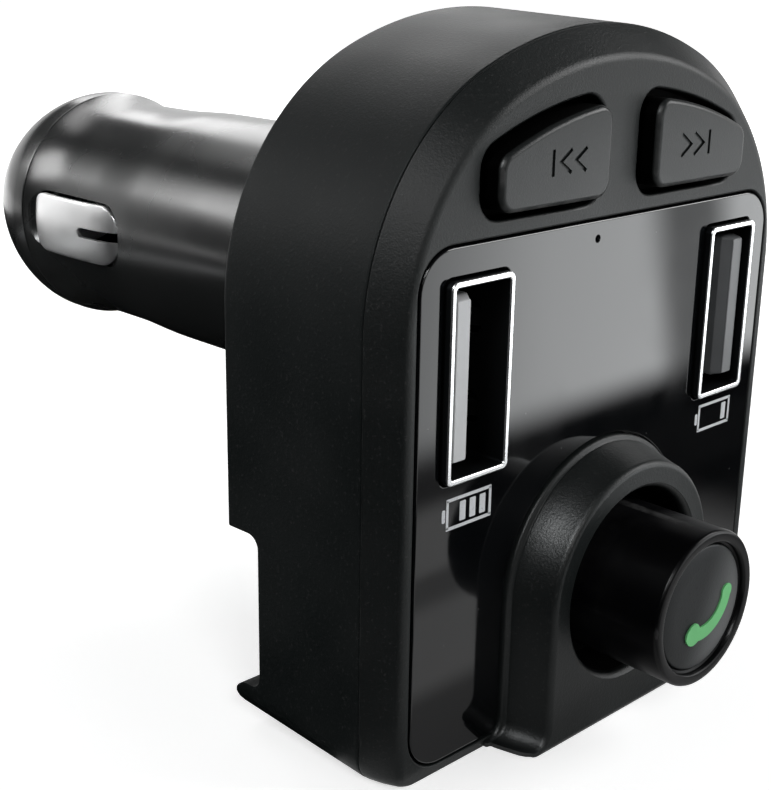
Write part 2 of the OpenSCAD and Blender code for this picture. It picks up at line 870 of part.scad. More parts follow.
tip_lip = 1.3;
tip_flange_r = tip_r + tip_lip;
tip_flange_t = 1.3;
tip_flange_y = nose_y - nose_wall - seat_gap - tip_flange_t;
tip_dome = 1.6;
spigot_r = 1.6;
spigot_len = 2.2;
dome_steps = 6;

module tip_contact() {
    end_y = nose_y + tip_out;
    color("#d0d2d4") turned(0, 0, concat(
        [[0, tip_flange_y - spigot_len], [spigot_r, tip_flange_y - spigot_len],
         [spigot_r, tip_flange_y], [tip_flange_r, tip_flange_y],
         [tip_flange_r, tip_flange_y + tip_flange_t], [tip_r, tip_flange_y + tip_flange_t]],
        [for (i = [0 : dome_steps]) [
            tip_r - tip_dome * (1 - cos(90 * i / dome_steps)),
            end_y - tip_dome * (1 - sin(90 * i / dome_steps))]],
        [[0, end_y]]
    ));
}

module tip_rivet() {
    color("#c8a24a") union() {
        bar(0, 0, bulk_y + bulk_t, lead_t, rivet_head_r);
        bar(0, 0, power_len + seat_gap, bulk_y + bulk_t - power_len, rivet_r);
    }
}

// Spring: one round wire wound about the plug axis, from the rivet's head to the centre
// contact's flange

spring_r = 2.5;
spring_rings = 8;
spring_sides = 6;
spring_y0 = bulk_y + bulk_t + lead_t + spring_wire / 2 + seat_gap;
spring_y1 = tip_flange_y - spring_wire / 2 - seat_gap;
spring_points = [for (i = [0 : spring_turns * spring_rings])
    let (a = 360 * i / spring_rings, t = i / (spring_turns * spring_rings))
    [spring_r * cos(a), spring_y0 + (spring_y1 - spring_y0) * t, spring_r * sin(a)]];

function unit(v) = v / norm(v);

module tube(path, d) {
    n = len(path);
    s = spring_sides;
    rings = [for (i = [0 : n - 1])
        let (
            t = unit(path[min(i + 1, n - 1)] - path[max(i - 1, 0)]),
            u = unit([path[i][0], 0, path[i][2]]),
            w = unit(cross(t, u)),
            o = unit(cross(w, t))
        )
        for (k = [0 : s - 1]) path[i] + d / 2 * (cos(360 * k / s) * o + sin(360 * k / s) * w)
    ];
    polyhedron(points = rings, faces = concat(
        [[for (k = [0 : s - 1]) k]],
        [[for (k = [s - 1 : -1 : 0]) (n - 1) * s + k]],
        [for (i = [0 : n - 2]) for (k = [0 : s - 1]) each [
            [i * s + k, (i + 1) * s + k, (i + 1) * s + (k + 1) % s],
            [i * s + k, (i + 1) * s + (k + 1) % s, i * s + (k + 1) % s]
        ]]
    ));
}

// Least gap between neighbouring turns, measured on the wire's own points
spring_gap = min([for (i = [0 : len(spring_points) - 1 - spring_rings])
    norm(spring_points[i + spring_rings] - spring_points[i])]) - spring_wire;
echo(spring_gap = spring_gap);

module tip_spring() {
    color("#b0b2b4") tube(spring_points, spring_wire);
}

// Side contacts, drawn on the +X side: a curved sheet that bows out of its slot, forked
// towards the head, with a foot under the barrel's wall at each end

foot_len = 1;
foot_gap = 0.15;
leaf_side_gap = 0.3;
leaf_steps = 12;
leaf_rise = 1.6;
leaf_w = slot_w - 2 * leaf_side_gap;
foot_r = bore_r - foot_gap;
leaf_y0 = slot_start + free_gap;
leaf_y1 = slot_start + slot_len - free_gap;
leaf_top_r = waist_r + leaf_out;
leaf_low_r = waist_r - leaf_rise;

// Outer radius of the bowed sheet at a share t of its length
function leaf_at(t) = leaf_low_r + (leaf_top_r - leaf_low_r) * sqrt(sin(180 * t));

// Outline of the sheet in radius and y, set inwards by e
function leaf_line(e) = [for (i = [0 : leaf_steps])
    [leaf_at(i / leaf_steps) - e, leaf_y0 + (leaf_y1 - leaf_y0) * i / leaf_steps]];

module leaf_plan() {
    difference() {
        union() {
            soft_rect([(leaf_y0 + leaf_y1) / 2, 0], leaf_y1 - leaf_y0, leaf_w, leaf_w / 2 - slot_flat);
            translate([leaf_y0 - foot_len, -leaf_w / 4])
                square([leaf_y1 - leaf_y0 + 2 * foot_len, leaf_w / 2]);
        }
        translate([leaf_y0 - foot_len - cut, -fork_w / 2]) square([foot_len + fork_len + cut, fork_w]);
    }
}

module side_contact() {
    inner = leaf_line(leaf_t);
    color("#d0d2d4") intersection() {
        turned(0, 0, concat(
            [[foot_r - leaf_t, leaf_y0 - foot_len], [foot_r, leaf_y0 - foot_len]],
            leaf_line(0),
            [[foot_r, leaf_y1 + foot_len], [foot_r - leaf_t, leaf_y1 + foot_len]],
            [for (i = [leaf_steps : -1 : 0]) inner[i]]
        ));
        rotate([90, 0, 90]) linear_extrude(height = 2 * plug_r) leaf_plan();
    }
}

module side_contact_left() { mirror([1, 0, 0]) side_contact(); }
module side_contact_right() { side_contact(); }

// Ground leads: one strip on each edge of the power board, up to a side contact's foot

module ground_leads() {
    color("#c9ccce") for (s = [-1, 1])
        block([s * (power_half_w - lead_w / 2) - lead_w / 2, power_len - lead_len, power_t / 2],
              [lead_w, leaf_y0 - foot_len - free_gap - power_len + lead_len, lead_t]);
}

rear_housing();
front_bezel();
face_panel();
button_left();
button_right();
knob_body();
knob_disc();
call_symbol();
encoder_body();
encoder_shaft();
encoder_plunger();
usb_shell_left();
usb_shell_right();
usb_insulator_left();
usb_insulator_right();
usb_contacts_left();
usb_contacts_right();
display_module();
microphone();
switch_left();
switch_right();
switch_stem_left();
switch_stem_right();
main_board();
radio_module();
board_screws();
board_link();
power_board();
power_inductor();
power_capacitor();
ground_leads();
plug_barrel();
nose_ring();
tip_contact();
tip_spring();
tip_rivet();
side_contact_left();
side_contact_right();
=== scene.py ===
# %% [markdown]
# # Dressing a car FM transmitter
# The real object is a small plastic head on a round plug that goes into a vehicle's 12 V
# socket. Its CAD parts arrive as a fixed frame, in metres, and this lesson builds the visible
# surfaces over them.

import math

import bmesh
import bpy
from mathutils import Matrix, Vector


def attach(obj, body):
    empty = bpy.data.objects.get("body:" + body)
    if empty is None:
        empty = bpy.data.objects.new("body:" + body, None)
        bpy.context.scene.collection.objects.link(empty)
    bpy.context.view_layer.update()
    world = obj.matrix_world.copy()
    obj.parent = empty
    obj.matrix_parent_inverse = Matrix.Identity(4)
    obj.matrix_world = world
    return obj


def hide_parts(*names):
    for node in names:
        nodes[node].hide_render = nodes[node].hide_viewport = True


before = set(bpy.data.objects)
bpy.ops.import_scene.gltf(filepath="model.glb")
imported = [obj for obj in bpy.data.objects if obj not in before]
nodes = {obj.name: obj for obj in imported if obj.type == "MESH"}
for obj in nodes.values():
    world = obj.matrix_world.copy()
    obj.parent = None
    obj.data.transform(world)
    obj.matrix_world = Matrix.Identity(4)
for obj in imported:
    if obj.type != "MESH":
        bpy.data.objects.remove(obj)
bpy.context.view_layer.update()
MM = 0.001

# %% [markdown]
# ## The camera
# The photograph looks down a little at the front left of the head, from close by, so the near
# edges are clearly larger than the far ones. A camera is placed from a yaw, a pitch and a small
# roll, by building its three axes as vectors. That is easier to reason about than Euler angles,
# and nothing is hidden in a tracking constraint.

# %% Place the camera
CAMERA_YAW, CAMERA_PITCH, CAMERA_ROLL = 0.769, -0.309, 0.016
CAMERA_PLACE = (-76.852, -71.962, 24.565)
FOCAL_LENGTH = 65.11


def camera_axes(yaw, pitch, roll):
    look = Vector((math.sin(yaw) * math.cos(pitch), math.cos(yaw) * math.cos(pitch), math.sin(pitch)))
    side = look.cross(Vector((0, 0, 1))).normalized()
    up = side.cross(look)
    turned_side = math.cos(roll) * side + math.sin(roll) * up
    turned_up = math.cos(roll) * up - math.sin(roll) * side
    return turned_side, turned_up, look


side, up, look = camera_axes(CAMERA_YAW, CAMERA_PITCH, CAMERA_ROLL)
lens = bpy.data.cameras.new("view")
lens.sensor_fit = "HORIZONTAL"
lens.sensor_width = 36
lens.lens = FOCAL_LENGTH
lens.clip_start = 0.005
lens.clip_end = 20
camera = bpy.data.objects.new("view", lens)
turn = Matrix((side, up, -look)).transposed().to_4x4()
camera.matrix_world = Matrix.Translation(Vector(CAMERA_PLACE) * MM) @ turn
bpy.context.scene.collection.objects.link(camera)
bpy.context.scene.camera = camera
print(f"Camera looks along {[round(v, 3) for v in look]}")

# %% [markdown]
# ## Floor
# A plain pale floor carries the object and its soft shadow. It is so large that its far edge
# lies beyond the picture, which saves a separate backdrop. The floor is built as a grid whose
# far side curves up like a paper sweep, so it also closes the view from low angles.

# %% Lay the floor
FLOOR_Z, FLOOR_HALF, FLOOR_STEPS = -28.95, 3000, 40


def mesh_object(name, verts, faces):
    mesh = bpy.data.meshes.new(name)
    mesh.from_pydata([Vector(v) * MM for v in verts], [], faces)
    mesh.validate()
    for poly in mesh.polygons:
        poly.use_smooth = True
    obj = bpy.data.objects.new(name, mesh)
    bpy.context.scene.collection.objects.link(obj)
    return obj


def paper_floor(half, steps):
    """A square of paper, flat in the middle and curved up beyond about half its reach."""
    ticks = [half * (2 * i / steps - 1) for i in range(steps + 1)]
    curve, flat_share = 0.0004, 0.55
    verts = [(x, y, FLOOR_Z + curve * max(0, math.hypot(x, y) - flat_share * half) ** 2)
             for y in ticks for x in ticks]
    row = steps + 1
    faces = [(j * row + i, j * row + i + 1, (j + 1) * row + i + 1, (j + 1) * row + i)
             for j in range(steps) for i in range(steps)]
    return mesh_object("paper_floor", verts, faces)


floor = paper_floor(FLOOR_HALF, FLOOR_STEPS)
print(f"Floor of {len(floor.data.polygons)} faces at z {FLOOR_Z} mm")

# %% [markdown]
# ## Node helpers
# Every finish below is written in nodes. A few small helpers keep those cells short: one adds a
# node with its settings, one links two sockets, and one starts a material with a Principled
# shader whose plain numbers are typed on the shader itself. Another hands out the X, Y and Z of
# a point on the object, which is how a finish can change from place to place.

# %% Make node helpers
def add(tree, kind, values=None, **settings):
    node = tree.nodes.new(kind)
    for key, value in settings.items():
        setattr(node, key, value)
    for key, value in (values or {}).items():
        node.inputs[key].default_value = value
    return node


def link(tree, source, target):
    tree.links.new(source, target)


def start_material(name, **shader_values):
    mat = bpy.data.materials.new(name)
    mat.use_nodes = True
    tree = mat.node_tree
    shader = tree.nodes["Principled BSDF"]
    for key, value in shader_values.items():
        shader.inputs[key.replace("_", " ")].default_value = value
    return mat, tree, shader


def grey(value):
    return (value, value, value, 1)


def object_split(tree):
    split = add(tree, "ShaderNodeSeparateXYZ")
    link(tree, add(tree, "ShaderNodeTexCoord").outputs["Object"], split.inputs["Vector"])
    return split.outputs


print("Node helpers ready")

# %% [markdown]
# ## Sums in nodes
# Masks are sums of numbers that change over a surface. These helpers write such sums as plain
# calls: one for a maths node, one that moves between two numbers, and one that makes a soft
# step, which looks more like real wear and light than a hard limit does.

# %% Make the sum helpers
def math_node(tree, kind, a, b=None):
    node = add(tree, "ShaderNodeMath", operation=kind)
    for slot_no, value in enumerate((a, b)):
        if isinstance(value, (int, float)):
            node.inputs[slot_no].default_value = value
        elif value is not None:
            link(tree, value, node.inputs[slot_no])
    return node.outputs[0]


def mix_value(tree, factor, low, high):
    """Moves from one number to another as the factor goes from 0 to 1."""
    node = add(tree, "ShaderNodeMapRange")
    node.inputs["To Min"].default_value = low
    node.inputs["To Max"].default_value = high
    link(tree, factor, node.inputs["Value"])
    return node.outputs["Result"]


def fade(tree, value, low, high):
    """A soft step from 0 to 1 while the value goes from low to high."""
    node = add(tree, "ShaderNodeMapRange", interpolation_type="SMOOTHSTEP")
    for label, number in (("From Min", low), ("From Max", high)):
        if isinstance(number, (int, float)):
            node.inputs[label].default_value = number
        else:
            link(tree, number, node.inputs[label])
    link(tree, value, node.inputs["Value"])
    return node.outputs["Result"]


print("Sum helpers ready")

# %% [markdown]
# ## Floor finish
# The paper is nearly white, with a faint fibre in its shade. A product photograph burns its
# background out to white, so the paper also glows a little for rays that the camera sends, and
# for rays that a mirror or clear plastic passes on. It glows less close to the object, so the
# soft shadow stays. The Light Path node tells these rays from the ones that light the object,
# which see only plain paper.

# %% Finish the floor
paper, tree, shader = start_material("pale_paper", Roughness=0.9)
shader.inputs["Specular IOR Level"].default_value = 0.1
fibre = add(tree, "ShaderNodeTexNoise", {"Scale": 90.0, "Detail": 3.0})
place = add(tree, "ShaderNodeTexCoord").outputs["Object"]
link(tree, place, fibre.inputs["Vector"])
shade = add(tree, "ShaderNodeMix", data_type="RGBA")
shade.inputs[6].default_value = (0.80, 0.80, 0.80, 1)
shade.inputs[7].default_value = (0.84, 0.84, 0.84, 1)
link(tree, fibre.outputs["Fac"], shade.inputs[0])
link(tree, shade.outputs[2], shader.inputs["Base Color"])
rays = add(tree, "ShaderNodeLightPath").outputs
seen = math_node(tree, "MAXIMUM", rays["Is Camera Ray"], rays["Is Glossy Ray"])
seen = math_node(tree, "MAXIMUM", seen, rays["Is Transmission Ray"])
reach = add(tree, "ShaderNodeVectorMath", operation="LENGTH")
link(tree, place, reach.inputs[0])
glow = mix_value(tree, fade(tree, reach.outputs["Value"], 0.06, 0.32), 0.60, 1.0)
light = add(tree, "ShaderNodeEmission", {"Color": (1, 1, 1, 1)})
link(tree, math_node(tree, "MULTIPLY", seen, glow), light.inputs["Strength"])
both = add(tree, "ShaderNodeAddShader")
link(tree, shader.outputs["BSDF"], both.inputs[0])
link(tree, light.outputs["Emission"], both.inputs[1])
link(tree, both.outputs["Shader"], tree.nodes["Material Output"].inputs["Surface"])
floor.data.materials.append(paper)
print("Paper floor finished")

# %% [markdown]
# ## Lamps and surroundings
# Soft lamps stand at a plain level, so a colour renders about as it is written. A broad one
# behind on the right lights the crest of the arch, one above the plug draws the bright band
# along the barrel, and one behind on the left draws the second streak. One at the right front
# lights the faces, and a small one at the upper left picks out the grain on the chamfer.
# Nothing shines low from the left, so that side of the head falls dark.

# %% Light the scene
def soft_lamp(name, place, aim, width, height, watts):
    data = bpy.data.lights.new(name, "AREA")
    data.shape = "RECTANGLE"
    data.size = width * MM
    data.size_y = height * MM
    data.energy = watts
    lamp = bpy.data.objects.new(name, data)
    lamp.location = Vector(place) * MM
    lamp.rotation_mode = "QUATERNION"
    lamp.rotation_quaternion = (Vector(aim) - Vector(place)).to_track_quat("-Z", "Y")
    lamp.visible_camera = False
    bpy.context.scene.collection.objects.link(lamp)
    return lamp


lamps = [soft_lamp(*values) for values in (
    ("back_right_lamp", (300, 430, 330), (0, 10, 0), 330, 250, 1.3),
    ("back_top_lamp", (10, 420, 450), (0, 10, 0), 240, 150, 0.4),
    ("back_left_lamp", (-352, 411, 261), (0, 10, 0), 250, 175, 1.3),
    ("right_lamp", (420, -300, 260), (0, 0, -10), 300, 260, 2.0),
    ("crest_lamp", (-175, -295, 225), (0, -10, 0), 100, 100, 0.42))]

surroundings = bpy.data.worlds.new("surroundings")
surroundings.use_nodes = True
bpy.context.scene.world = surroundings
sky = surroundings.node_tree.nodes["Background"]
sky.inputs["Color"].default_value = (0.96, 0.98, 1.0, 1)
sky.inputs["Strength"].default_value = 0.06
bpy.context.scene.view_settings.view_transform = "Standard"
print(f"{len(lamps)} lamps and a dim surround are set")

# %% [markdown]
# ## Studio cards
# A black object shows its surroundings more than its own colour, so a photographer places cards
# just outside the picture. Black flags on the left keep the white paper out of the mirror image
# in the head's side. A glowing card is drawn as a plain quad whose shader can blend it away or
# dim it from place to place. All cards act only in reflections: they light nothing, throw no
# shadow and aren't seen directly.

# %% Place the black flags
def studio_card(name, corners, material):
    card = mesh_object(name, corners, [(0, 1, 3, 2)])
    card.visible_camera = card.visible_diffuse = card.visible_shadow = False
    card.data.materials.append(material)
    return card


def card_finish(name, strength):
    """A card's glow, black at strength 0. The sockets that can be shaded come back with it."""
    mat = bpy.data.materials.new(name)
    mat.use_nodes = True
    tree = mat.node_tree
    tree.nodes.remove(tree.nodes["Principled BSDF"])
    light = add(tree, "ShaderNodeEmission", {"Color": (0.97, 0.99, 1.0, 1), "Strength": strength})
    clear = add(tree, "ShaderNodeBsdfTransparent")
    blend = add(tree, "ShaderNodeMixShader")
    link(tree, clear.outputs["BSDF"], blend.inputs[1])
    link(tree, light.outputs["Emission"], blend.inputs[2])
    link(tree, blend.outputs["Shader"], tree.nodes["Material Output"].inputs["Surface"])
    blend.inputs[0].default_value = 1.0
    return mat, tree, object_split(tree), blend.inputs[0], light.inputs["Strength"]


def lying(x0, x1, y0, y1, z):
    return [(x0, y0, z), (x0, y1, z), (x1, y0, z), (x1, y1, z)]


def standing(start, end, z0, z1):
    return [(*start, z0), (*start, z1), (*end, z0), (*end, z1)]


black_card = card_finish("black_card", 0.0)[0]
flags = [studio_card(name, corners, black_card) for name, corners in (
    ("barrel_flag", lying(-300, 60, -10, 210, -28.6)),
    ("left_flag", lying(-24, -300, -330, -10, -28.7)),
    ("side_flag", standing((-300, -330), (-300, 450), -28.6, 110)),
    ("front_flag", standing((-24, -330), (-300, -330), -28.6, 110)))]
print("Flags:", [flag.name for flag in flags])

# %% [markdown]
# ## What the panel mirrors
# The glossy panel shows the paper in front of it in its lower half and a card at the right in
# its upper half. A strip on the paper darkens it in soft bands, most of all on the right, so
# the lower half is broken up as in the photograph. The card glows, with one dim stripe and a
# dimmer left part, and its lower edge is feathered, as that of a real softbox is.

# %% Shade the panel's reflections
def band(tree, value, a, b, c, d):
    """A soft band: rises between a and b, falls between c and d."""
    falling = math_node(tree, "SUBTRACT", 1.0, fade(tree, value, c, d))
    return math_node(tree, "MULTIPLY", fade(tree, value, a, b), falling)


shade_card, tree, at, cover, strength = card_finish("shade_card", 0.0)
left_over = mix_value(tree, fade(tree, at["X"], 0.022, 0.046), 0.75, 0.02)
for soft_step, kept in ((fade(tree, at["Y"], -0.0240, -0.0210), 0.42),
                        (band(tree, at["Y"], -0.038, -0.036, -0.034, -0.031), 0.5),
                        (band(tree, at["Y"], -0.064, -0.058, -0.050, -0.046), 0.15)):
    left_over = math_node(tree, "MULTIPLY", left_over, mix_value(tree, soft_step, 1.0, kept))
link(tree, math_node(tree, "SUBTRACT", 1.0, left_over), cover)
shade_strip = studio_card("shade_strip", lying(-24, 200, -70, -15.4, -28.5), shade_card)

PANEL_GLOW = 4.6
panel_glow, tree, at, cover, strength = card_finish("panel_glow", PANEL_GLOW)
slant = math_node(tree, "ADD", at["X"], math_node(tree, "MULTIPLY", at["Z"], 0.25))
stripe = band(tree, slant, 0.057, 0.064, 0.071, 0.079)
left_part = mix_value(tree, fade(tree, at["X"], 0.016, 0.044), 0.5, 1.0)
level = math_node(tree, "MULTIPLY", left_part, mix_value(tree, stripe, 1.0, 0.25))
level = math_node(tree, "MULTIPLY", level, mix_value(tree, fade(tree, at["Z"], -0.004, 0.010), 1.0, 0.5))
link(tree, math_node(tree, "MULTIPLY", level, PANEL_GLOW), strength)
link(tree, fade(tree, at["Z"], -0.0288, -0.0235), cover)
panel_card = studio_card("panel_card", standing((8, -55), (104, -55), -28.8, 12), panel_glow)
print("Panel cards:", shade_strip.name, panel_card.name)

# %% [markdown]
# ## Two small glints
# A dim card low behind the left side gives the side contact something bright to mirror. A small
# bright one high on the left puts the glint on the tower's shoulder and on the keys' corners.

# %% Place the glint cards
contact_card = studio_card("contact_card", lying(-102, -42, 97, 114, -28.4),
                           card_finish("contact_glow", 1.6)[0])
tower_card = studio_card("tower_card", [(-252, -102, 163), (-252, 8, 163), (-182, -102, 233), (-182, 8, 233)],
                         card_finish("tower_glow", 26.0)[0])
print("Glint cards:", contact_card.name, tower_card.name)

# %% [markdown]
# ## Shared shader effects
# Moulded plastic is never one flat colour. Four small effects recur on this object: a fine
# spark-eroded grain, slow clouds of shade, paler rubbed edges and stray dust. Each becomes a
# node group with named sockets, built once and then placed with its own numbers in every
# material. A group hands out only masks and heights, so each material keeps its own shader.

# %% Build the grain and cloud groups
def new_group(name, inputs, outputs):
    tree = bpy.data.node_groups.new(name, "ShaderNodeTree")
    for label, value in inputs.items():
        socket = tree.interface.new_socket(label, in_out="INPUT", socket_type="NodeSocketFloat")
        socket.default_value = value
    for label in outputs:
        tree.interface.new_socket(label, in_out="OUTPUT", socket_type="NodeSocketFloat")
    return tree, add(tree, "NodeGroupInput"), add(tree, "NodeGroupOutput")


grain, g_in, g_out = new_group("moulded_grain", {"Scale": 3200.0, "Pits": 0.4}, ("Height", "Fleck"))
at = add(grain, "ShaderNodeTexCoord").outputs["Object"]
fine = add(grain, "ShaderNodeTexNoise", {"Detail": 4.0, "Roughness": 0.62})
link(grain, at, fine.inputs["Vector"])
link(grain, g_in.outputs["Scale"], fine.inputs["Scale"])
pits = add(grain, "ShaderNodeTexVoronoi", feature="F1")
link(grain, at, pits.inputs["Vector"])
link(grain, math_node(grain, "MULTIPLY", g_in.outputs["Scale"], 1.7), pits.inputs["Scale"])
pit_depth = math_node(grain, "MULTIPLY", pits.outputs["Distance"], g_in.outputs["Pits"])
link(grain, math_node(grain, "ADD", fine.outputs["Fac"], pit_depth), g_out.inputs["Height"])
link(grain, fade(grain, fine.outputs["Fac"], 0.56, 0.74), g_out.inputs["Fleck"])

cloud, c_in, c_out = new_group("slow_cloud", {"Scale": 90.0, "Soft": 0.25}, ("Cloud",))
at = add(cloud, "ShaderNodeTexCoord").outputs["Object"]
drift = add(cloud, "ShaderNodeTexNoise", {"Detail": 2.0, "Roughness": 0.5})
link(cloud, at, drift.inputs["Vector"])
link(cloud, c_in.outputs["Scale"], drift.inputs["Scale"])
lower = math_node(cloud, "SUBTRACT", 0.5, c_in.outputs["Soft"])
upper = math_node(cloud, "ADD", 0.5, c_in.outputs["Soft"])
link(cloud, fade(cloud, drift.outputs["Fac"], lower, upper), c_out.inputs["Cloud"])
print("Grain and cloud groups ready")

# %% [markdown]
# ## Wear and dust
# Edges that fingers pass over are rubbed paler, and dust settles as a few stray specks. Wear
# could be painted by hand, but the mesh's own pointiness already knows its edges, and noise
# breaks the line up, since real wear is patchy. Dust comes from a cell texture that keeps only
# the lucky few of its cells.

# %% Build the wear and dust groups
rub, r_in, r_out = new_group("rubbed_edge", {"Start": 0.52, "End": 0.6, "Break": 700.0}, ("Mask",))
bend = add(rub, "ShaderNodeNewGeometry").outputs["Pointiness"]
at = add(rub, "ShaderNodeTexCoord").outputs["Object"]
patch = add(rub, "ShaderNodeTexNoise", {"Detail": 3.0})
link(rub, at, patch.inputs["Vector"])
link(rub, r_in.outputs["Break"], patch.inputs["Scale"])
crest = fade(rub, bend, r_in.outputs["Start"], r_in.outputs["End"])
broken = math_node(rub, "MULTIPLY", crest, fade(rub, patch.outputs["Fac"], 0.35, 0.65))
link(rub, broken, r_out.inputs["Mask"])

dust, d_in, d_out = new_group("stray_dust", {"Scale": 900.0, "Amount": 0.1}, ("Mask",))
at = add(dust, "ShaderNodeTexCoord").outputs["Object"]
specks = add(dust, "ShaderNodeTexVoronoi", feature="F1")
link(dust, at, specks.inputs["Vector"])
link(dust, d_in.outputs["Scale"], specks.inputs["Scale"])
spot = math_node(dust, "LESS_THAN", specks.outputs["Distance"], 0.09)
luck = add(dust, "ShaderNodeSeparateColor")
link(dust, specks.outputs["Color"], luck.inputs["Color"])
chosen = math_node(dust, "LESS_THAN", luck.outputs["Red"], d_in.outputs["Amount"])
link(dust, math_node(dust, "MULTIPLY", spot, chosen), d_out.inputs["Mask"])
print("Effect groups:", [g.name for g in bpy.data.node_groups])

# %% [markdown]
# ## Groups in a material
# A material places a group with its own numbers, mixes colours by the group's masks and turns a
# height into a bump. These three steps come back in every finish, so each is a small helper. The
# bump is measured in metres, which keeps the grain as deep on a large piece as on a small one.

# %% Make the material helpers
def place_group(tree, group, **values):
    node = add(tree, "ShaderNodeGroup", node_tree=group)
    for label, value in values.items():
        node.inputs[label].default_value = value
    return node


def mix_colour(tree, factor, a, b):
    node = add(tree, "ShaderNodeMix", data_type="RGBA")
    link(tree, factor, node.inputs[0])
    for slot_no, value in ((6, a), (7, b)):
        if isinstance(value, tuple):
            node.inputs[slot_no].default_value = value
        else:
            link(tree, value, node.inputs[slot_no])
    return node.outputs[2]


def bump(tree, shader, height, distance, strength=1.0):
    node = add(tree, "ShaderNodeBump", {"Strength": strength, "Distance": distance})
    link(tree, height, node.inputs["Height"])
    link(tree, node.outputs["Normal"], shader.inputs["Normal"])


print("Material helpers ready")

# %% [markdown]
# ## Black plastics
# The head, the knob and the plug are all black, yet each takes the light in its own way: the
# shell and bezel have a fine spark-eroded grain, the keys are silkier, the knob is nearly
# smooth and the plug's barrel shines. One recipe with different numbers covers them. It mixes
# two near blacks by the slow cloud, adds pale flecks, rubbed edges and dust where asked, and
# drives roughness and bump from the grain.

# %% Mix the black plastics
def plastic(name, shades, rough, gloss, scale=3200.0, depth=6e-6, fleck=0.05, mottle=0.12,
            rubbed=0.0, dusty=0.0):
    """A black plastic between two shades. Gloss is the specular level, depth the grain's height."""
    mat, tree, shader = start_material(name)
    shader.inputs["Specular IOR Level"].default_value = gloss
    skin = place_group(tree, grain, Scale=scale)
    clouds = place_group(tree, cloud, Scale=85.0, Soft=0.2)
    colour = mix_colour(tree, clouds.outputs["Cloud"], *shades)
    paler = math_node(tree, "MULTIPLY", skin.outputs["Fleck"], 0.35)
    colour = mix_colour(tree, paler, colour, grey(fleck))
    if rubbed:
        edge = place_group(tree, rub, Start=0.53, End=0.62, Break=600.0)
        worn = math_node(tree, "MULTIPLY", edge.outputs["Mask"], rubbed)
        colour = mix_colour(tree, worn, colour, grey(0.16))
    if dusty:
        bits = place_group(tree, dust, Scale=800.0, Amount=dusty)
        specked = math_node(tree, "MULTIPLY", bits.outputs["Mask"], 0.5)
        colour = mix_colour(tree, specked, colour, grey(0.35))
    link(tree, colour, shader.inputs["Base Color"])
    uneven = math_node(tree, "MULTIPLY", skin.outputs["Fleck"], mottle)
    level = mix_value(tree, clouds.outputs["Cloud"], rough - 0.04, rough + 0.04)
    link(tree, math_node(tree, "ADD", level, uneven), shader.inputs["Roughness"])
    bump(tree, shader, skin.outputs["Height"], depth)
    return mat, tree, shader


black_shell = plastic("black_shell", ((0.006, 0.008, 0.008, 1), (0.010, 0.012, 0.012, 1)), 0.5, 0.09,
                      scale=4000.0, depth=1.2e-5, mottle=0.05)[0]
black_barrel = plastic("black_barrel", ((0.012, 0.013, 0.013, 1), (0.016, 0.017, 0.017, 1)), 0.25, 0.5,
                       scale=2600.0, depth=3e-7, fleck=0.02, mottle=0.01)[0]
inner_black = plastic("inner_black", ((0.03, 0.03, 0.032, 1), (0.045, 0.045, 0.048, 1)), 0.45, 0.4)[0]
print("Black plastics:", black_shell.name, black_barrel.name, inner_black.name)

# %% [markdown]
# ## Painted shade by place
# The key wells, the dish round the knob and the keys' sides lose nearly all light, more than the
# thin gaps of a model can swallow. They could be separate pieces with a blacker material, but
# the seam would show, so a mask from the point's own coordinates paints shade on them instead.
# Limits along one direction make boxes, and the distance from an axis makes round places.

# %% Make the place masks
KNOB_Z = -18.5
KEY_ARC_Z = -16.5


def within(tree, value, low, high):
    """1 where a value lies between two limits, given in millimetres."""
    above = math_node(tree, "GREATER_THAN", value, low * MM)
    return math_node(tree, "MULTIPLY", above, math_node(tree, "LESS_THAN", value, high * MM))


def reach_from(tree, at, z):
    """Distance from the line along Y that crosses X = 0 at a height z."""
    rise = math_node(tree, "SUBTRACT", at["Z"], z * MM)
    squares = [math_node(tree, "MULTIPLY", leg, leg) for leg in (at["X"], rise)]
    return math_node(tree, "SQRT", math_node(tree, "ADD", *squares))


def paint_shade(tree, shader, mask):
    """Painted shade: where the mask is 1, the surface is dull and dead black, with no reflection."""
    tone, level = (shader.inputs[label].links[0].from_socket for label in ("Base Color", "Roughness"))
    link(tree, mix_colour(tree, mask, tone, grey(0.001)), shader.inputs["Base Color"])
    dull = add(tree, "ShaderNodeMix")
    link(tree, mask, dull.inputs[0])
    link(tree, level, dull.inputs[2])
    dull.inputs[3].default_value = 0.7
    link(tree, dull.outputs[0], shader.inputs["Roughness"])
    link(tree, mask, shader.inputs["Metallic"])


print("Place masks ready")

# %% [markdown]
# ## Plastics that change with place
# Three of the blacks differ from place to place on one piece. The bezel carries painted shade,
# dead black, in its wells and in the dish, and a key on its sides, just behind its face. On the
# knob only the front ring is polished, so there the mask drives a thin clear coat.

# %% Mix the plastics with masks
black_bezel, tree, shader = plastic("black_bezel", ((0.007, 0.009, 0.009, 1), (0.010, 0.012, 0.012, 1)),
                                    0.41, 0.24, scale=4400.0, depth=1.6e-5, rubbed=0.25, dusty=0.01)
at = object_split(tree)
# Painted shade, dead black, in the key wells and in the dish round the knob.
well_shade = within(tree, at["Y"], -14.75, -11.0)
for limits in (within(tree, at["Z"], 8.3, 17.0), within(tree, at["X"], -14.3, 14.3),
               within(tree, reach_from(tree, at, KEY_ARC_Z), 0.0, 32.9)):
    well_shade = math_node(tree, "MULTIPLY", well_shade, limits)
dish_shade = math_node(tree, "MULTIPLY", within(tree, at["Y"], -18.0, -13.0),
                    within(tree, reach_from(tree, at, KNOB_Z), 0.0, 7.25))
paint_shade(tree, shader, math_node(tree, "MAXIMUM", well_shade, dish_shade))

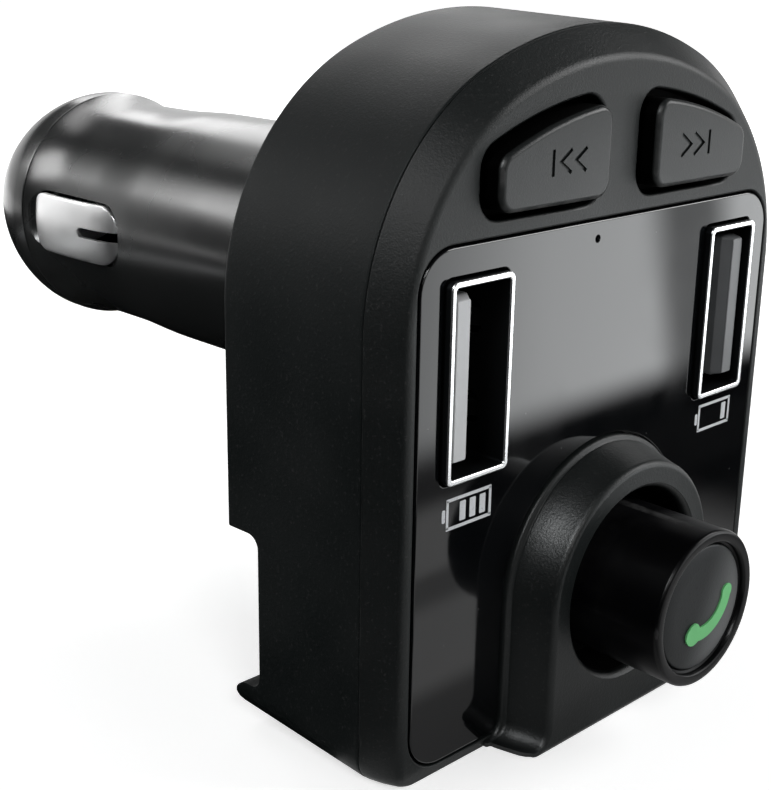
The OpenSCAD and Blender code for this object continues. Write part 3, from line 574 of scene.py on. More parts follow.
black_key, tree, shader = plastic("black_key", ((0.009, 0.011, 0.011, 1), (0.013, 0.015, 0.015, 1)),
                                  0.33, 0.26, scale=5200.0, depth=8e-6, rubbed=0.25)
# Painted shade, dead black, on the key's sides just behind its face.
paint_shade(tree, shader, fade(tree, object_split(tree)["Y"], -0.01600, -0.01575))

black_knob, tree, shader = plastic("black_knob", ((0.0015, 0.0015, 0.002, 1), (0.0025, 0.0025, 0.003, 1)),
                                   0.3, 0.06, scale=6000.0, depth=4e-7, fleck=0.004, mottle=0.02, rubbed=0.3)
polished = math_node(tree, "SUBTRACT", 1.0, fade(tree, object_split(tree)["Y"], -0.02475, -0.0243))
link(tree, math_node(tree, "MULTIPLY", polished, 0.15), shader.inputs["Coat Weight"])
shader.inputs["Coat Roughness"].default_value = 0.16
print("Masked plastics:", black_bezel.name, black_key.name, black_knob.name)

# %% [markdown]
# ## Outlines
# Nearly every part of the head is an outline in the plane of its face, pushed along the plug
# axis. The arch is two shoulder arcs and a flatter crown arc that meet without a kink, so a
# small function gives its points at any inset. Rounded edges then come for free: the same
# outline is drawn at several insets and depths, and the rings are joined into a skin.

# %% Draw the outlines
FRONT, SEAM = -15.0, -12.95
HALF_W, BASE = 21.85, -28.9
SHOULDER_X, SHOULDER_Z, SHOULDER_R = 4.45, 1.9, 17.4
CROWN_R = 28.85
CROWN_Z = 20.2 - CROWN_R
CROWN_A = math.degrees(math.atan2(SHOULDER_Z - CROWN_Z, SHOULDER_X))


def arc(cx, cz, r, a0, a1, n, first=0):
    turns = [math.radians(a0 + (a1 - a0) * i / n) for i in range(first, n + 1)]
    return [(cx + r * math.cos(a), cz + r * math.sin(a)) for a in turns]


SIDE_STOPS = (-24.0, -20.0, -17.0, -15.0, -13.0, -10.0, -6.0, -2.0)


def head_outline(e, lift=0.0):
    """The arch, grown by e. Stops along the straight sides keep the faces there short."""
    c, w, z = max(0.9, 2.4 + e), HALF_W + e, BASE + lift
    return (arc(c - w, z + c, c, 180, 270, 8) + arc(w - c, z + c, c, 270, 360, 8)
            + [(w, stop) for stop in SIDE_STOPS]
            + arc(SHOULDER_X, SHOULDER_Z, SHOULDER_R + e, 0, CROWN_A, 30)
            + arc(0, CROWN_Z, CROWN_R + e, CROWN_A, 180 - CROWN_A, 26, 1)
            + arc(-SHOULDER_X, SHOULDER_Z, SHOULDER_R + e, 180 - CROWN_A, 180, 30, 1)
            + [(-w, stop) for stop in reversed(SIDE_STOPS)])


def box_outline(cx, cz, w, h, r, n=6):
    x, z = w / 2 - r, h / 2 - r
    return (arc(cx - x, cz - z, r, 180, 270, n) + arc(cx + x, cz - z, r, 270, 360, n)
            + arc(cx + x, cz + z, r, 0, 90, n) + arc(cx - x, cz + z, r, 90, 180, n))


print(f"Arch outline of {len(head_outline(0))} points")

# %% [markdown]
# ## Outlines on the face
# A skip key is flat below and follows the arch above, so its upper edge is a wide arc and each
# corner is a small one that meets its neighbours without a kink. The tower is a half circle
# round the knob with straight sides, and its toe flares out at the flat end. Each outline can
# be grown, so one function gives a part, its well and the gap between them.

# %% Draw the outlines on the face
SOCKET_X, SOCKET_Z = 13.85, -1.25
SOCKET_W, SOCKET_H = 5.8, 13.3
KEY_ARC_R = 32.0
MIC_X, MIC_Z, MIC_R = -2.0, 6.2, 0.25


def key_outline(e):
    """A skip key on the right, grown by e: flat below, arched above, with four round corners."""
    xi, xo, z, r = 2.5 - e, 13.3 + e, 9.2 - e, 1.2 + e
    top_r, zc = KEY_ARC_R + e, KEY_ARC_Z
    outer = (xo - r, zc + math.sqrt((top_r - r) ** 2 - (xo - r) ** 2))
    inner = (xi + r, zc + math.sqrt((top_r - r) ** 2 - (xi + r) ** 2))
    ao, ai = (math.degrees(math.atan2(p[1] - zc, p[0])) for p in (outer, inner))
    return (arc(xi + r, z + r, r, 180, 270, 8) + arc(xo - r, z + r, r, 270, 360, 8)
            + arc(outer[0], outer[1], r, 0, ao, 8) + arc(0, zc, top_r, ao, ai, 10, 1)
            + arc(inner[0], inner[1], r, ai, 180, 8, 1))


def tower_outline(r, reach=1.5, lift=0.0):
    """The tower, round at the top, with a toe that flares out to each side at the flat end."""
    z, toe = BASE + lift, 1.5
    right = [(min(x, r + reach), z) for x, z in arc(r + toe, BASE + 0.3 + toe, toe, 270, 180, 10)]
    return ([(-r - reach, z), (r + reach, z)] + right + arc(0, KNOB_Z, r, 0, 180, 48)
            + [(-x, z) for x, z in reversed(right)])


print(f"Key outline of {len(key_outline(0))} points, tower of {len(tower_outline(10.0))}")

# %% [markdown]
# ## Skins
# Nearly every moulding here is a stack of outlines, each drawn at its own depth and joined to
# the next by a belt of faces, with a cap at both ends. A Solidify modifier could thicken one
# outline, but a stack gives each edge its own round. The same maker serves outlines seen from
# the front and from the side.

# %% Make the skin makers
def closed_mesh(name, verts, faces):
    obj = mesh_object(name, verts, faces)
    bm = bmesh.new()
    bm.from_mesh(obj.data)
    bmesh.ops.remove_doubles(bm, verts=bm.verts, dist=1e-7)
    bmesh.ops.recalc_face_normals(bm, faces=bm.faces)
    bm.to_mesh(obj.data)
    bm.free()
    return obj


def stack_mesh(name, layers):
    """Joins loops of points into a skin, with a cap on the first and the last."""
    n, last = len(layers[0]), len(layers) - 1
    faces = [tuple(range(n)), tuple(reversed(range(last * n, (last + 1) * n)))]
    for k in range(last):
        for i in range(n):
            j = (i + 1) % n
            faces.append((k * n + i, (k + 1) * n + i, (k + 1) * n + j, k * n + j))
    return closed_mesh(name, [point for layer in layers for point in layer], faces)


def skin_mesh(name, rings):
    """A stack of outlines in X and Z, each at its depth y."""
    return stack_mesh(name, [[(x, y, z) for x, z in pts] for y, pts in rings])


def side_mesh(name, rings):
    """A stack of outlines in Y and Z, each at its x."""
    return stack_mesh(name, [[(x, y, z) for y, z in pts] for x, pts in rings])


print("Skin makers ready")

# %% [markdown]
# ## Turned shapes and cuts
# The second maker turns a profile about an axis, as a lathe does, and closes it where it touches
# the axis. The third cuts one closed mesh with others. Each cut is applied at once and its tools
# are removed, so only whole pieces stay in the scene.

# %% Make the turning and cutting makers
def turned_mesh(name, x, z, profile, steps=128):
    """Turns radii and depths about the line along Y through x and z."""
    verts, faces, rows = [], [], []
    for r, y in profile:
        if r < 1e-6:
            rows.append([len(verts)] * steps)
            verts.append((x, y, z))
        else:
            rows.append(list(range(len(verts), len(verts) + steps)))
            turns = [2 * math.pi * i / steps for i in range(steps)]
            verts += [(x + r * math.cos(a), y, z + r * math.sin(a)) for a in turns]
    for a, b in zip(rows, rows[1:] + rows[:1]):
        if a[0] == a[1] and b[0] == b[1]:
            continue
        for i in range(steps):
            j = (i + 1) % steps
            faces.append(tuple(dict.fromkeys((a[i], a[j], b[j], b[i]))))
    return closed_mesh(name, verts, faces)


def carve(obj, tools, operation="DIFFERENCE"):
    for tool in tools:
        cut = obj.modifiers.new("cut", "BOOLEAN")
        cut.operation, cut.solver, cut.object = operation, "EXACT", tool
    bpy.context.view_layer.update()
    ready = obj.evaluated_get(bpy.context.evaluated_depsgraph_get())
    mesh = bpy.data.meshes.new_from_object(ready)
    obj.modifiers.clear()
    obj.data = mesh
    for tool in tools:
        bpy.data.objects.remove(tool)
    return obj


print("Turning and cutting makers ready")

# %% [markdown]
# ## Edges and finishing
# The edge of a hole is rounded by flaring the cutter itself, which is cleaner than bevelling a
# cut mesh afterwards. Every finished piece gets the same last steps: smooth shading with sharp
# creases kept, a weighted normal modifier that keeps flat faces flat, its material, the body it
# rides on and the CAD node it stands for.

# %% Make the edge and finishing helpers
def rolled(face_y, e, r, steps=5):
    """Depths and insets of a rounded edge, from the face to the side of a solid."""
    turns = [math.pi / 2 * i / steps for i in range(steps + 1)]
    return [(face_y + r * (1 - math.cos(a)), e - r * (1 - math.sin(a))) for a in turns]


def flared(face_y, deep_y, e, r, steps=4):
    """Depths and growths of a cutter whose hole has a rounded mouth."""
    turns = [math.radians(80) * (1 - i / steps) for i in range(steps + 1)]
    lip = [(face_y + r * (1 - math.sin(a)), e + r * (1 - math.cos(a))) for a in turns]
    return [(face_y - 0.6, lip[0][1])] + lip + [(deep_y, e)]


def turned_edge(r, y, dr, dy, turns):
    """Radii and depths of a round edge, from the side (r, y + dy) to the face (r + dr, y)."""
    return [(r + dr * (1 - math.cos(math.radians(a))), y + dy * (1 - math.sin(math.radians(a))))
            for a in turns]


def finish_piece(obj, material, body, *, stands_for=(), corner=40):
    for poly in obj.data.polygons:
        poly.use_smooth = True
    obj.data.set_sharp_from_angle(angle=math.radians(corner))
    level = obj.modifiers.new("weighted_normals", "WEIGHTED_NORMAL")
    level.keep_sharp = True
    obj.data.materials.clear()
    obj.data.materials.append(material)
    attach(obj, body)
    if stands_for:
        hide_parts(*stands_for)
    print(f"{obj.name}: {len(obj.data.polygons)} faces on body {body}")
    return obj


def mirrored_copy(obj, name):
    twin = obj.copy()
    twin.data = obj.data.copy()
    twin.name = twin.data.name = name
    twin.data.transform(Matrix.Scale(-1, 4, (1, 0, 0)))
    twin.data.flip_normals()
    bpy.context.scene.collection.objects.link(twin)
    return twin


print("Edge and finishing helpers ready")

# %% [markdown]
# ## Rear shell
# The shell is the deep arched box behind the bezel. It widens a little towards the back, as a
# moulding must to leave its tool, and its back edge is rounded. A notch near the flat end gives
# a fingertip something to pull on, above a small catch with a blunt nose. The box is skinned
# from the arch outline, then hollowed, bored for the plug and notched with three cutters.

# %% Build the rear shell
def shell_ring(y, e, lift=0.0):
    share = (y - SEAM) / -SEAM
    return (y, head_outline(e + 0.6 * share, 0.6 * share + lift))


shell_rings = [shell_ring(SEAM, -0.16, 0.02), shell_ring(-12.9, -0.05), shell_ring(-12.78, 0.0)]
shell_rings += [shell_ring(y, 0.0) for y in (-10.5, -7.0, -3.5, -0.5)]
for degrees in (22, 45, 68, 90):
    out, drop = math.sin(math.radians(degrees)), 1 - math.cos(math.radians(degrees))
    shell_rings.append(shell_ring(-0.5 + 0.5 * out, -0.5 * drop, 0.3 * drop))
rear_shell = skin_mesh("rear_shell", shell_rings)
cavity = skin_mesh("cavity", [(-13.6, head_outline(-0.95, 0.95)), (-11.4, head_outline(-0.95, 0.95)),
                              (-11.3, head_outline(-1.6, 1.6)), (-1.6, head_outline(-1.0, 2.2))])
keep = skin_mesh("keep", [(y, box_outline(0, -22.0, 60, 20.0, 0.5)) for y in (-4.9, 1.0)])
carve(cavity, [keep])


def notch_profile():
    """The finger notch in depth and height: round at its inner corner, over a blunt catch."""
    nose_z, nose_r, fillet = -26.8, 1.5, 0.9
    top = [(1.0, -13.6)] + arc(-2.3, -14.6, 1.0, 90, 180, 6)
    low = [(-3.3, nose_z + nose_r + fillet)] + arc(-2.4, nose_z + nose_r + fillet, fillet, 180, 270, 6, 1)
    nose = arc(-2.0, nose_z, nose_r, 90, -90, 12)
    return top + low + nose + [(-2.0, -30.5), (1.0, -30.5)]


notch = side_mesh("notch", [(x, notch_profile()) for x in (-30, 30)])
bore = turned_mesh("bore", 0, 0, [(0, -2.4), (10.45, -2.4), (10.45, -0.12), (10.6, 0.0), (10.6, 0.5),
                                  (0, 0.5)])
carve(rear_shell, [cavity, notch, bore])


def soften(obj, width, angle, segments=2):
    """Rounds the edges that a cut left sharp."""
    bm = bmesh.new()
    bm.from_mesh(obj.data)
    bmesh.ops.remove_doubles(bm, verts=bm.verts, dist=1e-7)
    sharp = [e for e in bm.edges if len(e.link_faces) == 2 and e.calc_face_angle(0) > math.radians(angle)]
    bmesh.ops.bevel(bm, geom=sharp, offset=width * MM, segments=segments, profile=0.5, affect="EDGES",
                    clamp_overlap=True)
    bm.to_mesh(obj.data)
    bm.free()


soften(rear_shell, 0.16, 38)
print(f"Shell from {len(shell_rings)} rings, with its notch and bore")
finish_piece(rear_shell, black_shell, "head", stands_for=["rear_housing"])

# %% [markdown]
# ## Front bezel
# This is the moulding that takes the most care. A broad chamfer rings the arch, two deep wells
# hold the skip keys and a shallow recess takes the glossy panel. The chamfer could be bevelled,
# but rings drawn at chosen depths keep its faces even. The plate is skinned first and then cut.
# The tools for the recess and the wells are flared, so those mouths get a rounded lip, and the
# others stay plain, since the panel hides what they cut.

# %% Build the bezel's plate
PANEL_W, PANEL_H, PANEL_Z, PANEL_CORNER = 37.9, 35.6, -10.36, 2.8
PANEL_GAP, KEY_GAP = 0.15, 0.6


def panel_outline(e):
    return box_outline(0, PANEL_Z, PANEL_W + 2 * e, PANEL_H + 2 * e, PANEL_CORNER + e, 10)


chamfer = [(-14.0 - math.cos(math.radians(a)), -2.464 + math.sin(math.radians(a)))
           for a in range(0, 46, 9)]
chamfer += [(-13.9, -0.95), (-13.1, -0.16), (-13.03, -0.1), (-12.97, -0.12), (-12.95, -0.22)]
plate_rings = [(y, head_outline(e)) for y, e in chamfer]
plate_rings += [(y, head_outline(-1.0, 1.0)) for y in (-12.93, -11.45)]
bezel = skin_mesh("front_bezel_shell", plate_rings)
hollow = skin_mesh("hollow", [(y, head_outline(-2.2, 2.2)) for y in (-13.4, -11.0)])
recess = skin_mesh("recess", [(y, panel_outline(e)) for y, e in flared(FRONT, -14.0, PANEL_GAP, 0.16)])
right_well = skin_mesh("right_well", [(y, key_outline(e)) for y, e in flared(FRONT, -12.0, KEY_GAP, 0.22)])
left_well = mirrored_copy(right_well, "left_well")
socket_holes = [skin_mesh("socket_hole", [(y, box_outline(s * SOCKET_X, SOCKET_Z, 6.0, 13.5, 0.6))
                                          for y in (-15.6, -12.5)]) for s in (-1, 1)]
carve(bezel, [hollow, recess, right_well, left_well] + socket_holes)
print(f"Plate of {len(bezel.data.polygons)} faces")

# %% [markdown]
# ## Tower and dish
# The tower leans in towards its front and has a fine step at its foot, where the real moulding
# meets the panel. It is skinned from its outline and joined to the plate, and the dish that the
# knob sits in is turned out of it last. A bush hole behind the knob and the microphone's small
# hole are turned out in the same go.

# %% Build the tower and cut the dish
TOWER_FRONT, TOWER_FOOT_R, DISH_R = -18.7, 10.05, 7.0
tower_rings = []
for step in range(7):
    a = math.radians(90 * step / 6)
    short = 1 - math.sin(a)
    ring = tower_outline(9.0 - 0.5 * short, 0.9 + 0.28 * math.sin(a), 0.3 * short)
    tower_rings.append((TOWER_FRONT + 0.5 * (1 - math.cos(a)), ring))
tower_rings += [(-17.95, tower_outline(9.06, 1.36)), (-17.6, tower_outline(9.14, 1.48))]
tower_rings += [(y, tower_outline(r)) for y, r in (
    (-17.2, 9.25), (-16.4, 9.47), (-15.6, 9.68), (-15.44, 9.67), (-15.36, 9.74), (-15.31, 9.84),
    (-15.28, 9.97), (-15.2, 10.04), (-15.1, TOWER_FOOT_R), (-13.6, TOWER_FOOT_R))]
tower = skin_mesh("tower", tower_rings)
carve(bezel, [tower], "UNION")
mouth = turned_edge(DISH_R, TOWER_FRONT, 0.6, 0.6, range(0, 71, 14))
dish = turned_mesh("dish", 0, KNOB_Z, [(0, -14.4), (6.9, -14.4), (DISH_R, -14.5)] + mouth
                   + [(mouth[-1][0], TOWER_FRONT - 1.0), (0, TOWER_FRONT - 1.0)], 96)
bush_hole = turned_mesh("bush_hole", 0, KNOB_Z, [(0, -14.8), (3.8, -14.8), (3.8, -13.0), (0, -13.0)], 48)
mic_hole = turned_mesh("mic_hole", MIC_X, MIC_Z, [(0, -15.5), (MIC_R, -15.5), (MIC_R, -12.9), (0, -12.9)], 24)
carve(bezel, [dish, bush_hole, mic_hole])
finish_piece(bezel, black_bezel, "head", stands_for=["front_bezel"])

# %% [markdown]
# ## Smoked panel
# The dark panel is a glossy plastic window that lies flush in its recess, with a hairline gap
# all round, round the tower and round each socket's rim. It mirrors the studio, so its shader
# is nearly black with a low roughness, and only a little smear breaks the reflection.

# %% Build the panel
def panel_finish():
    mat, tree, shader = start_material("smoked_panel")
    shader.inputs["Specular IOR Level"].default_value = 0.5
    smear = place_group(tree, cloud, Scale=140.0, Soft=0.12)
    depth_tone = place_group(tree, cloud, Scale=40.0, Soft=0.3)
    bits = place_group(tree, dust, Scale=1500.0, Amount=0.03)
    shades = (0.0018, 0.002, 0.0025, 1), (0.003, 0.0035, 0.004, 1)
    colour = mix_colour(tree, depth_tone.outputs["Cloud"], *shades)
    colour = mix_colour(tree, math_node(tree, "MULTIPLY", bits.outputs["Mask"], 0.25), colour, grey(0.3))
    link(tree, colour, shader.inputs["Base Color"])
    link(tree, mix_value(tree, smear.outputs["Cloud"], 0.045, 0.085), shader.inputs["Roughness"])
    bump(tree, shader, depth_tone.outputs["Cloud"], 1.2e-5, 0.5)
    return mat


def socket_outline(e, side_sign=1):
    """The outside of a Type A socket's shell, grown by e."""
    return box_outline(side_sign * SOCKET_X, SOCKET_Z, SOCKET_W + 2 * e, SOCKET_H + 2 * e, 0.5 + e)


smoked_panel = panel_finish()
panel_rings = [(y, panel_outline(e)) for y, e in rolled(FRONT, 0.0, 0.14, 4)]
panel = skin_mesh("smoked_panel", panel_rings + [(-14.0, panel_outline(0.0))])
gap_turn = flared(FRONT, -13.5, PANEL_GAP, 0.1)
tower_gap = skin_mesh("tower_gap", [(y, tower_outline(TOWER_FOOT_R + e)) for y, e in gap_turn])
rim_gaps = [skin_mesh("rim_gap", [(y, socket_outline(e, s)) for y, e in gap_turn]) for s in (-1, 1)]
mic_mouth = turned_mesh("mic_mouth", MIC_X, MIC_Z, [(0, -15.5), (0.29, -15.5), (0.29, -15.0),
                                                    (MIC_R, -14.95), (MIC_R, -13.5), (0, -13.5)], 32)
carve(panel, [tower_gap] + rim_gaps + [mic_mouth])
finish_piece(panel, smoked_panel, "head", stands_for=["face_panel"])


# %% [markdown]
# ## Charge gauges
# The small print below each socket is a plain charge gauge, a generic mark. It is drawn as thin
# raised ink, each line a very flat box, and all boxes of a gauge are joined into one piece.

# %% Print the gauges
def ink_plate(name, *box):
    return skin_mesh(name, [(y, box_outline(*box, 2)) for y in (FRONT - 0.03, FRONT + 0.01)])


def join_pieces(name, parts):
    bm = bmesh.new()
    for part in parts:
        bm.from_mesh(part.data)
        bpy.data.objects.remove(part)
    mesh = bpy.data.meshes.new(name)
    bm.to_mesh(mesh)
    bm.free()
    obj = bpy.data.objects.new(name, mesh)
    bpy.context.scene.collection.objects.link(obj)
    return obj


def charge_gauge(name, cx, cz, bars):
    """An outlined cell with a nub and a few bars, as on a charge gauge."""
    w, h, line = 4.3, 2.2, 0.22
    parts = []
    for s in (-1, 1):
        parts.append(ink_plate("edge", cx, cz + s * (h - line) / 2, w, line, 0.05))
        parts.append(ink_plate("edge", cx + s * (w - line) / 2, cz, line, h - line, 0.05))
    parts.append(ink_plate("nub", cx - w / 2 - 0.25, cz, 0.3, 0.9, 0.1))
    for i in range(bars):
        parts.append(ink_plate("bar", cx + w / 2 - 0.85 - i * 0.95, cz, 0.55, h - 0.85, 0.06))
    return join_pieces(name, parts)


def print_finish(name, colour, worn):
    mat, tree, shader = start_material(name)
    shader.inputs["Specular IOR Level"].default_value = 0.3
    wear = place_group(tree, grain, Scale=5200.0, Pits=0.2)
    fading = place_group(tree, cloud, Scale=260.0, Soft=0.3)
    tone = mix_colour(tree, fading.outputs["Cloud"], tuple(c * 0.85 for c in colour[:3]) + (1,), colour)
    worn_away = math_node(tree, "MULTIPLY", wear.outputs["Fleck"], worn)
    link(tree, mix_colour(tree, worn_away, tone, grey(0.08)), shader.inputs["Base Color"])
    link(tree, mix_value(tree, fading.outputs["Cloud"], 0.4, 0.55), shader.inputs["Roughness"])
    bump(tree, shader, wear.outputs["Height"], 3e-6)
    return mat


white_print = print_finish("white_print", (0.62, 0.64, 0.66, 1), 0.5)
for name, cx, cz, bars in (("left_gauge", -14.0, -10.1, 3), ("right_gauge", 14.2, -9.8, 1)):
    finish_piece(charge_gauge(name, cx, cz, bars), white_print, "head")

# %% [markdown]
# ## Skip keys
# Each key is a D-shaped cap that stands proud of its well, with soft edges and a sunk symbol on
# its face. The cap is skinned from the same outline as its well, so the gap between them stays
# even. The symbol is a bar and two chevrons, cut as shallow prisms.

# %% Build the keys
def stroke(points, width):
    """The outline of a bent stroke of even width through three points."""
    (ax, az), (bx, bz), (cx, cz) = points

    def off(px, pz, qx, qz):
        length = math.hypot(qx - px, qz - pz)
        return -(qz - pz) / length * width / 2, (qx - px) / length * width / 2

    o1, o2 = off(ax, az, bx, bz), off(bx, bz, cx, cz)
    mx, mz = (o1[0] + o2[0]) / 2, (o1[1] + o2[1]) / 2
    grow = (width / 2) ** 2 / (mx * mx + mz * mz)
    mx, mz = mx * grow, mz * grow
    return [(ax + o1[0], az + o1[1]), (bx + mx, bz + mz), (cx + o2[0], cz + o2[1]),
            (cx - o2[0], cz - o2[1]), (bx - mx, bz - mz), (ax - o1[0], az - o1[1])]


KEY_TOP = -16.2
key_rings = [(y, key_outline(e)) for y, e in rolled(KEY_TOP, 0.0, 0.42, 7)]
key_rings += [(y, key_outline(e)) for y, e in ((-14.5, 0.0), (-13.3, 0.0), (-13.29, 1.05), (-12.5, 1.05))]
right_key = skin_mesh("right_skip_key", key_rings)
marks = [stroke([(6.75 + dx, 11.25), (7.85 + dx, 12.0), (6.75 + dx, 12.75)], 0.26) for dx in (-1.5, 0.0)]
marks.append([(8.42, 11.15), (8.7, 11.15), (8.7, 12.85), (8.42, 12.85)])
cutters = [skin_mesh("mark", [(KEY_TOP - 0.3, pts), (KEY_TOP + 0.16, pts)]) for pts in marks]
left_key = mirrored_copy(right_key, "left_skip_key")
left_cutters = [mirrored_copy(c, "mark_left") for c in cutters]
for key, tools, side_name in ((right_key, cutters, "right"), (left_key, left_cutters, "left")):
    carve(key, tools)
    finish_piece(key, black_key, f"{side_name}_key", stands_for=[f"button_{side_name}"])

# %% [markdown]
# ## Knob
# The knob is a short smooth drum in the tower's dish. A narrow ring frames a grey face, with a
# fine dark groove between them. Drum and face are turned from profiles, which puts a round edge
# exactly where the highlight of the ring has to run. The face is darker on the left, and a
# painted sheen lies over its right half, as a soft step across it.

# %% Build the knob
KNOB_R, KNOB_FRONT, KNOB_STEPS = 5.7, -24.7, 144
FACE_R, FACE_FRONT, FACE_SEAT = 4.6, -24.35, -23.15
drum_edge = turned_edge(KNOB_R, KNOB_FRONT, -0.3, 0.3, range(0, 91, 18))
drum_mouth = [(4.98, KNOB_FRONT), (4.9, -24.67), (4.84, -24.6), (4.82, -24.3), (4.66, -24.2),
              (4.65, FACE_SEAT)]
drum = turned_mesh("knob_drum", 0, KNOB_Z, [(3.05, -15.0), (5.55, -15.0), (KNOB_R, -15.15)] + drum_edge
                   + drum_mouth + [(0, FACE_SEAT), (0, -22.3), (3.05, -22.3)], KNOB_STEPS)
finish_piece(drum, black_knob, "knob", stands_for=["knob_body"])

face_edge = turned_edge(FACE_R, FACE_FRONT, -0.18, 0.18, range(0, 91, 30))
knob_face = turned_mesh("knob_face", 0, KNOB_Z, [(0, FACE_SEAT), (FACE_R, FACE_SEAT)] + face_edge
                        + [(3.0, -24.345), (1.5, -24.34), (0, -24.34)], KNOB_STEPS)


def face_finish():
    mat, tree, shader = start_material("grey_face")
    shader.inputs["Specular IOR Level"].default_value = 0.12
    skin = place_group(tree, grain, Scale=4200.0, Pits=0.5)
    clouds = place_group(tree, cloud, Scale=130.0, Soft=0.25)
    at = object_split(tree)
    # Painted sheen: the face turns from near black on the left to grey on its right half.
    across = math_node(tree, "SUBTRACT", at["X"], math_node(tree, "MULTIPLY", at["Z"], 0.4))
    painted_sheen = fade(tree, across, 0.0065, 0.013)
    colour = mix_colour(tree, painted_sheen, (0.008, 0.010, 0.011, 1), (0.16, 0.165, 0.168, 1))
    colour = mix_colour(tree, math_node(tree, "MULTIPLY", clouds.outputs["Cloud"], 0.3), colour, grey(0.02))
    link(tree, colour, shader.inputs["Base Color"])
    link(tree, mix_value(tree, skin.outputs["Fleck"], 0.36, 0.5), shader.inputs["Roughness"])
    bump(tree, shader, skin.outputs["Height"], 6e-6)
    return mat


grey_face = face_finish()
finish_piece(knob_face, grey_face, "knob", stands_for=["knob_disc"])

# %% [markdown]
# ## Handset mark
# The face carries a green handset, the plain sign for a call. It is a bent grip that swells into
# two ends. It could be joined from three shapes, but one outline whose width changes along an
# arc has no seams, and pushed out by a tenth of a millimetre it catches the light like ink.

# %% Draw the handset mark
def handset_outline():
    """A grip bent along an arc, with a round mouthpiece at its low end and a small earpiece."""
    cx, cz, r, grip = 0.2, 0.75 + KNOB_Z, 2.75, 0.5
    ends = ((-112.0, 0.82), (-8.0, 0.56))
    low = ends[0][0] - math.degrees(ends[0][1] / r)
    high = ends[1][0] + math.degrees(ends[1][1] / r)
    outer, inner = [], []
    for i in range(73):
        turn = low + (high - low) * i / 72
        half = grip if ends[0][0] <= turn <= ends[1][0] else 0.02
        for end, size in ends:
            along = r * math.radians(turn - end)
            half = max(half, math.sqrt(max(0.0, size * size - along * along)))
        c, v = math.cos(math.radians(turn)), math.sin(math.radians(turn))
        outer.append((cx + (r + half) * c, cz + (r + half) * v))
        inner.append((cx + (r - half) * c, cz + (r - half) * v))
    return outer + inner[::-1]


mark_pts = handset_outline()
call_mark = skin_mesh("call_mark", [(y, mark_pts) for y in (-24.47, -24.44, -24.33)])
green_print = print_finish("green_print", (0.15, 0.56, 0.20, 1), 0.12)
finish_piece(call_mark, green_print, "knob", stands_for=["call_symbol"])

# %% [markdown]
# ## Metals
# The metals share one recipe: a slow change of shade, a little dust and a very fine grain. The
# socket's shell has its own, because it is bright only at its rolled mouth: on its sides and
# inside, where the real one sees nothing but black, painted shade makes it dark.

# %% Mix the metals
def steel_finish(name, light, dark, rough):
    mat, tree, shader = start_material(name, Metallic=1.0)
    skin = place_group(tree, grain, Scale=2600.0, Pits=0.1)
    clouds = place_group(tree, cloud, Scale=160.0, Soft=0.2)
    bits = place_group(tree, dust, Scale=1400.0, Amount=0.05)
    colour = mix_colour(tree, clouds.outputs["Cloud"], dark, light)
    specked = math_node(tree, "MULTIPLY", bits.outputs["Mask"], 0.4)
    link(tree, mix_colour(tree, specked, colour, grey(0.2)), shader.inputs["Base Color"])
    level = mix_value(tree, clouds.outputs["Cloud"], rough, rough + 0.08)
    level = math_node(tree, "ADD", level, math_node(tree, "MULTIPLY", skin.outputs["Fleck"], 0.1))
    link(tree, level, shader.inputs["Roughness"])
    bump(tree, shader, skin.outputs["Height"], 1.5e-6)
    return mat


def socket_steel():
    """Bright plated steel at the rolled mouth; painted shade makes it dull and dark on the sides and inside.
    """
    mat, tree, shader = start_material("bright_shell", Metallic=1.0)
    skin = place_group(tree, grain, Scale=2600.0, Pits=0.1)
    clouds = place_group(tree, cloud, Scale=160.0, Soft=0.2)
    # Painted shade: behind the edge of the mouth the steel turns dark and dull.
    shade_inside = fade(tree, object_split(tree)["Y"], -0.01556, -0.01546)
    bright = mix_colour(tree, clouds.outputs["Cloud"], (0.76, 0.77, 0.78, 1), (0.84, 0.85, 0.86, 1))
    link(tree, mix_colour(tree, shade_inside, bright, (0.012, 0.013, 0.014, 1)), shader.inputs["Base Color"])
    link(tree, mix_value(tree, shade_inside, 0.26, 0.55), shader.inputs["Roughness"])
    bump(tree, shader, skin.outputs["Height"], 1.5e-6)
    return mat


bright_shell = socket_steel()
bright_nickel = steel_finish("bright_nickel", (0.88, 0.88, 0.88, 1), (0.80, 0.80, 0.80, 1), 0.34)
bare_steel = steel_finish("bare_steel", (0.62, 0.62, 0.62, 1), (0.48, 0.48, 0.49, 1), 0.32)
gilt = steel_finish("gilt_contact", (0.80, 0.62, 0.28, 1), (0.66, 0.50, 0.22, 1), 0.25)
print("Metals:", bright_shell.name, bright_nickel.name, bare_steel.name, gilt.name)

# %% [markdown]
# ## Lesser plastics
# The sockets' tongues and the small parts inside are plain mouldings. They need no rubbed edges
# or dust, so a short recipe with two shades and a grain serves them all, and another number or
# colour gives another part.

# %% Mix the lesser plastics
def moulded_finish(name, dark, light, rough):
    mat, tree, shader = start_material(name)
    skin = place_group(tree, grain, Scale=3800.0, Pits=0.2)
    clouds = place_group(tree, cloud, Scale=150.0, Soft=0.25)
    link(tree, mix_colour(tree, clouds.outputs["Cloud"], dark, light), shader.inputs["Base Color"])
    link(tree, mix_value(tree, skin.outputs["Fleck"], rough, rough + 0.12), shader.inputs["Roughness"])
    bump(tree, shader, skin.outputs["Height"], 3e-6)
    return mat


pale_plastic = moulded_finish("pale_plastic", (0.44, 0.45, 0.46, 1), (0.50, 0.51, 0.52, 1), 0.4)
# A darker copy of the pale plastic: painted shade for the right tongue inside its socket.
shaded_pale_plastic = moulded_finish("shaded_pale_plastic", (0.09, 0.095, 0.10, 1), (0.12, 0.125, 0.13, 1), 0.4)
print("Lesser plastics:", pale_plastic.name, shaded_pale_plastic.name)
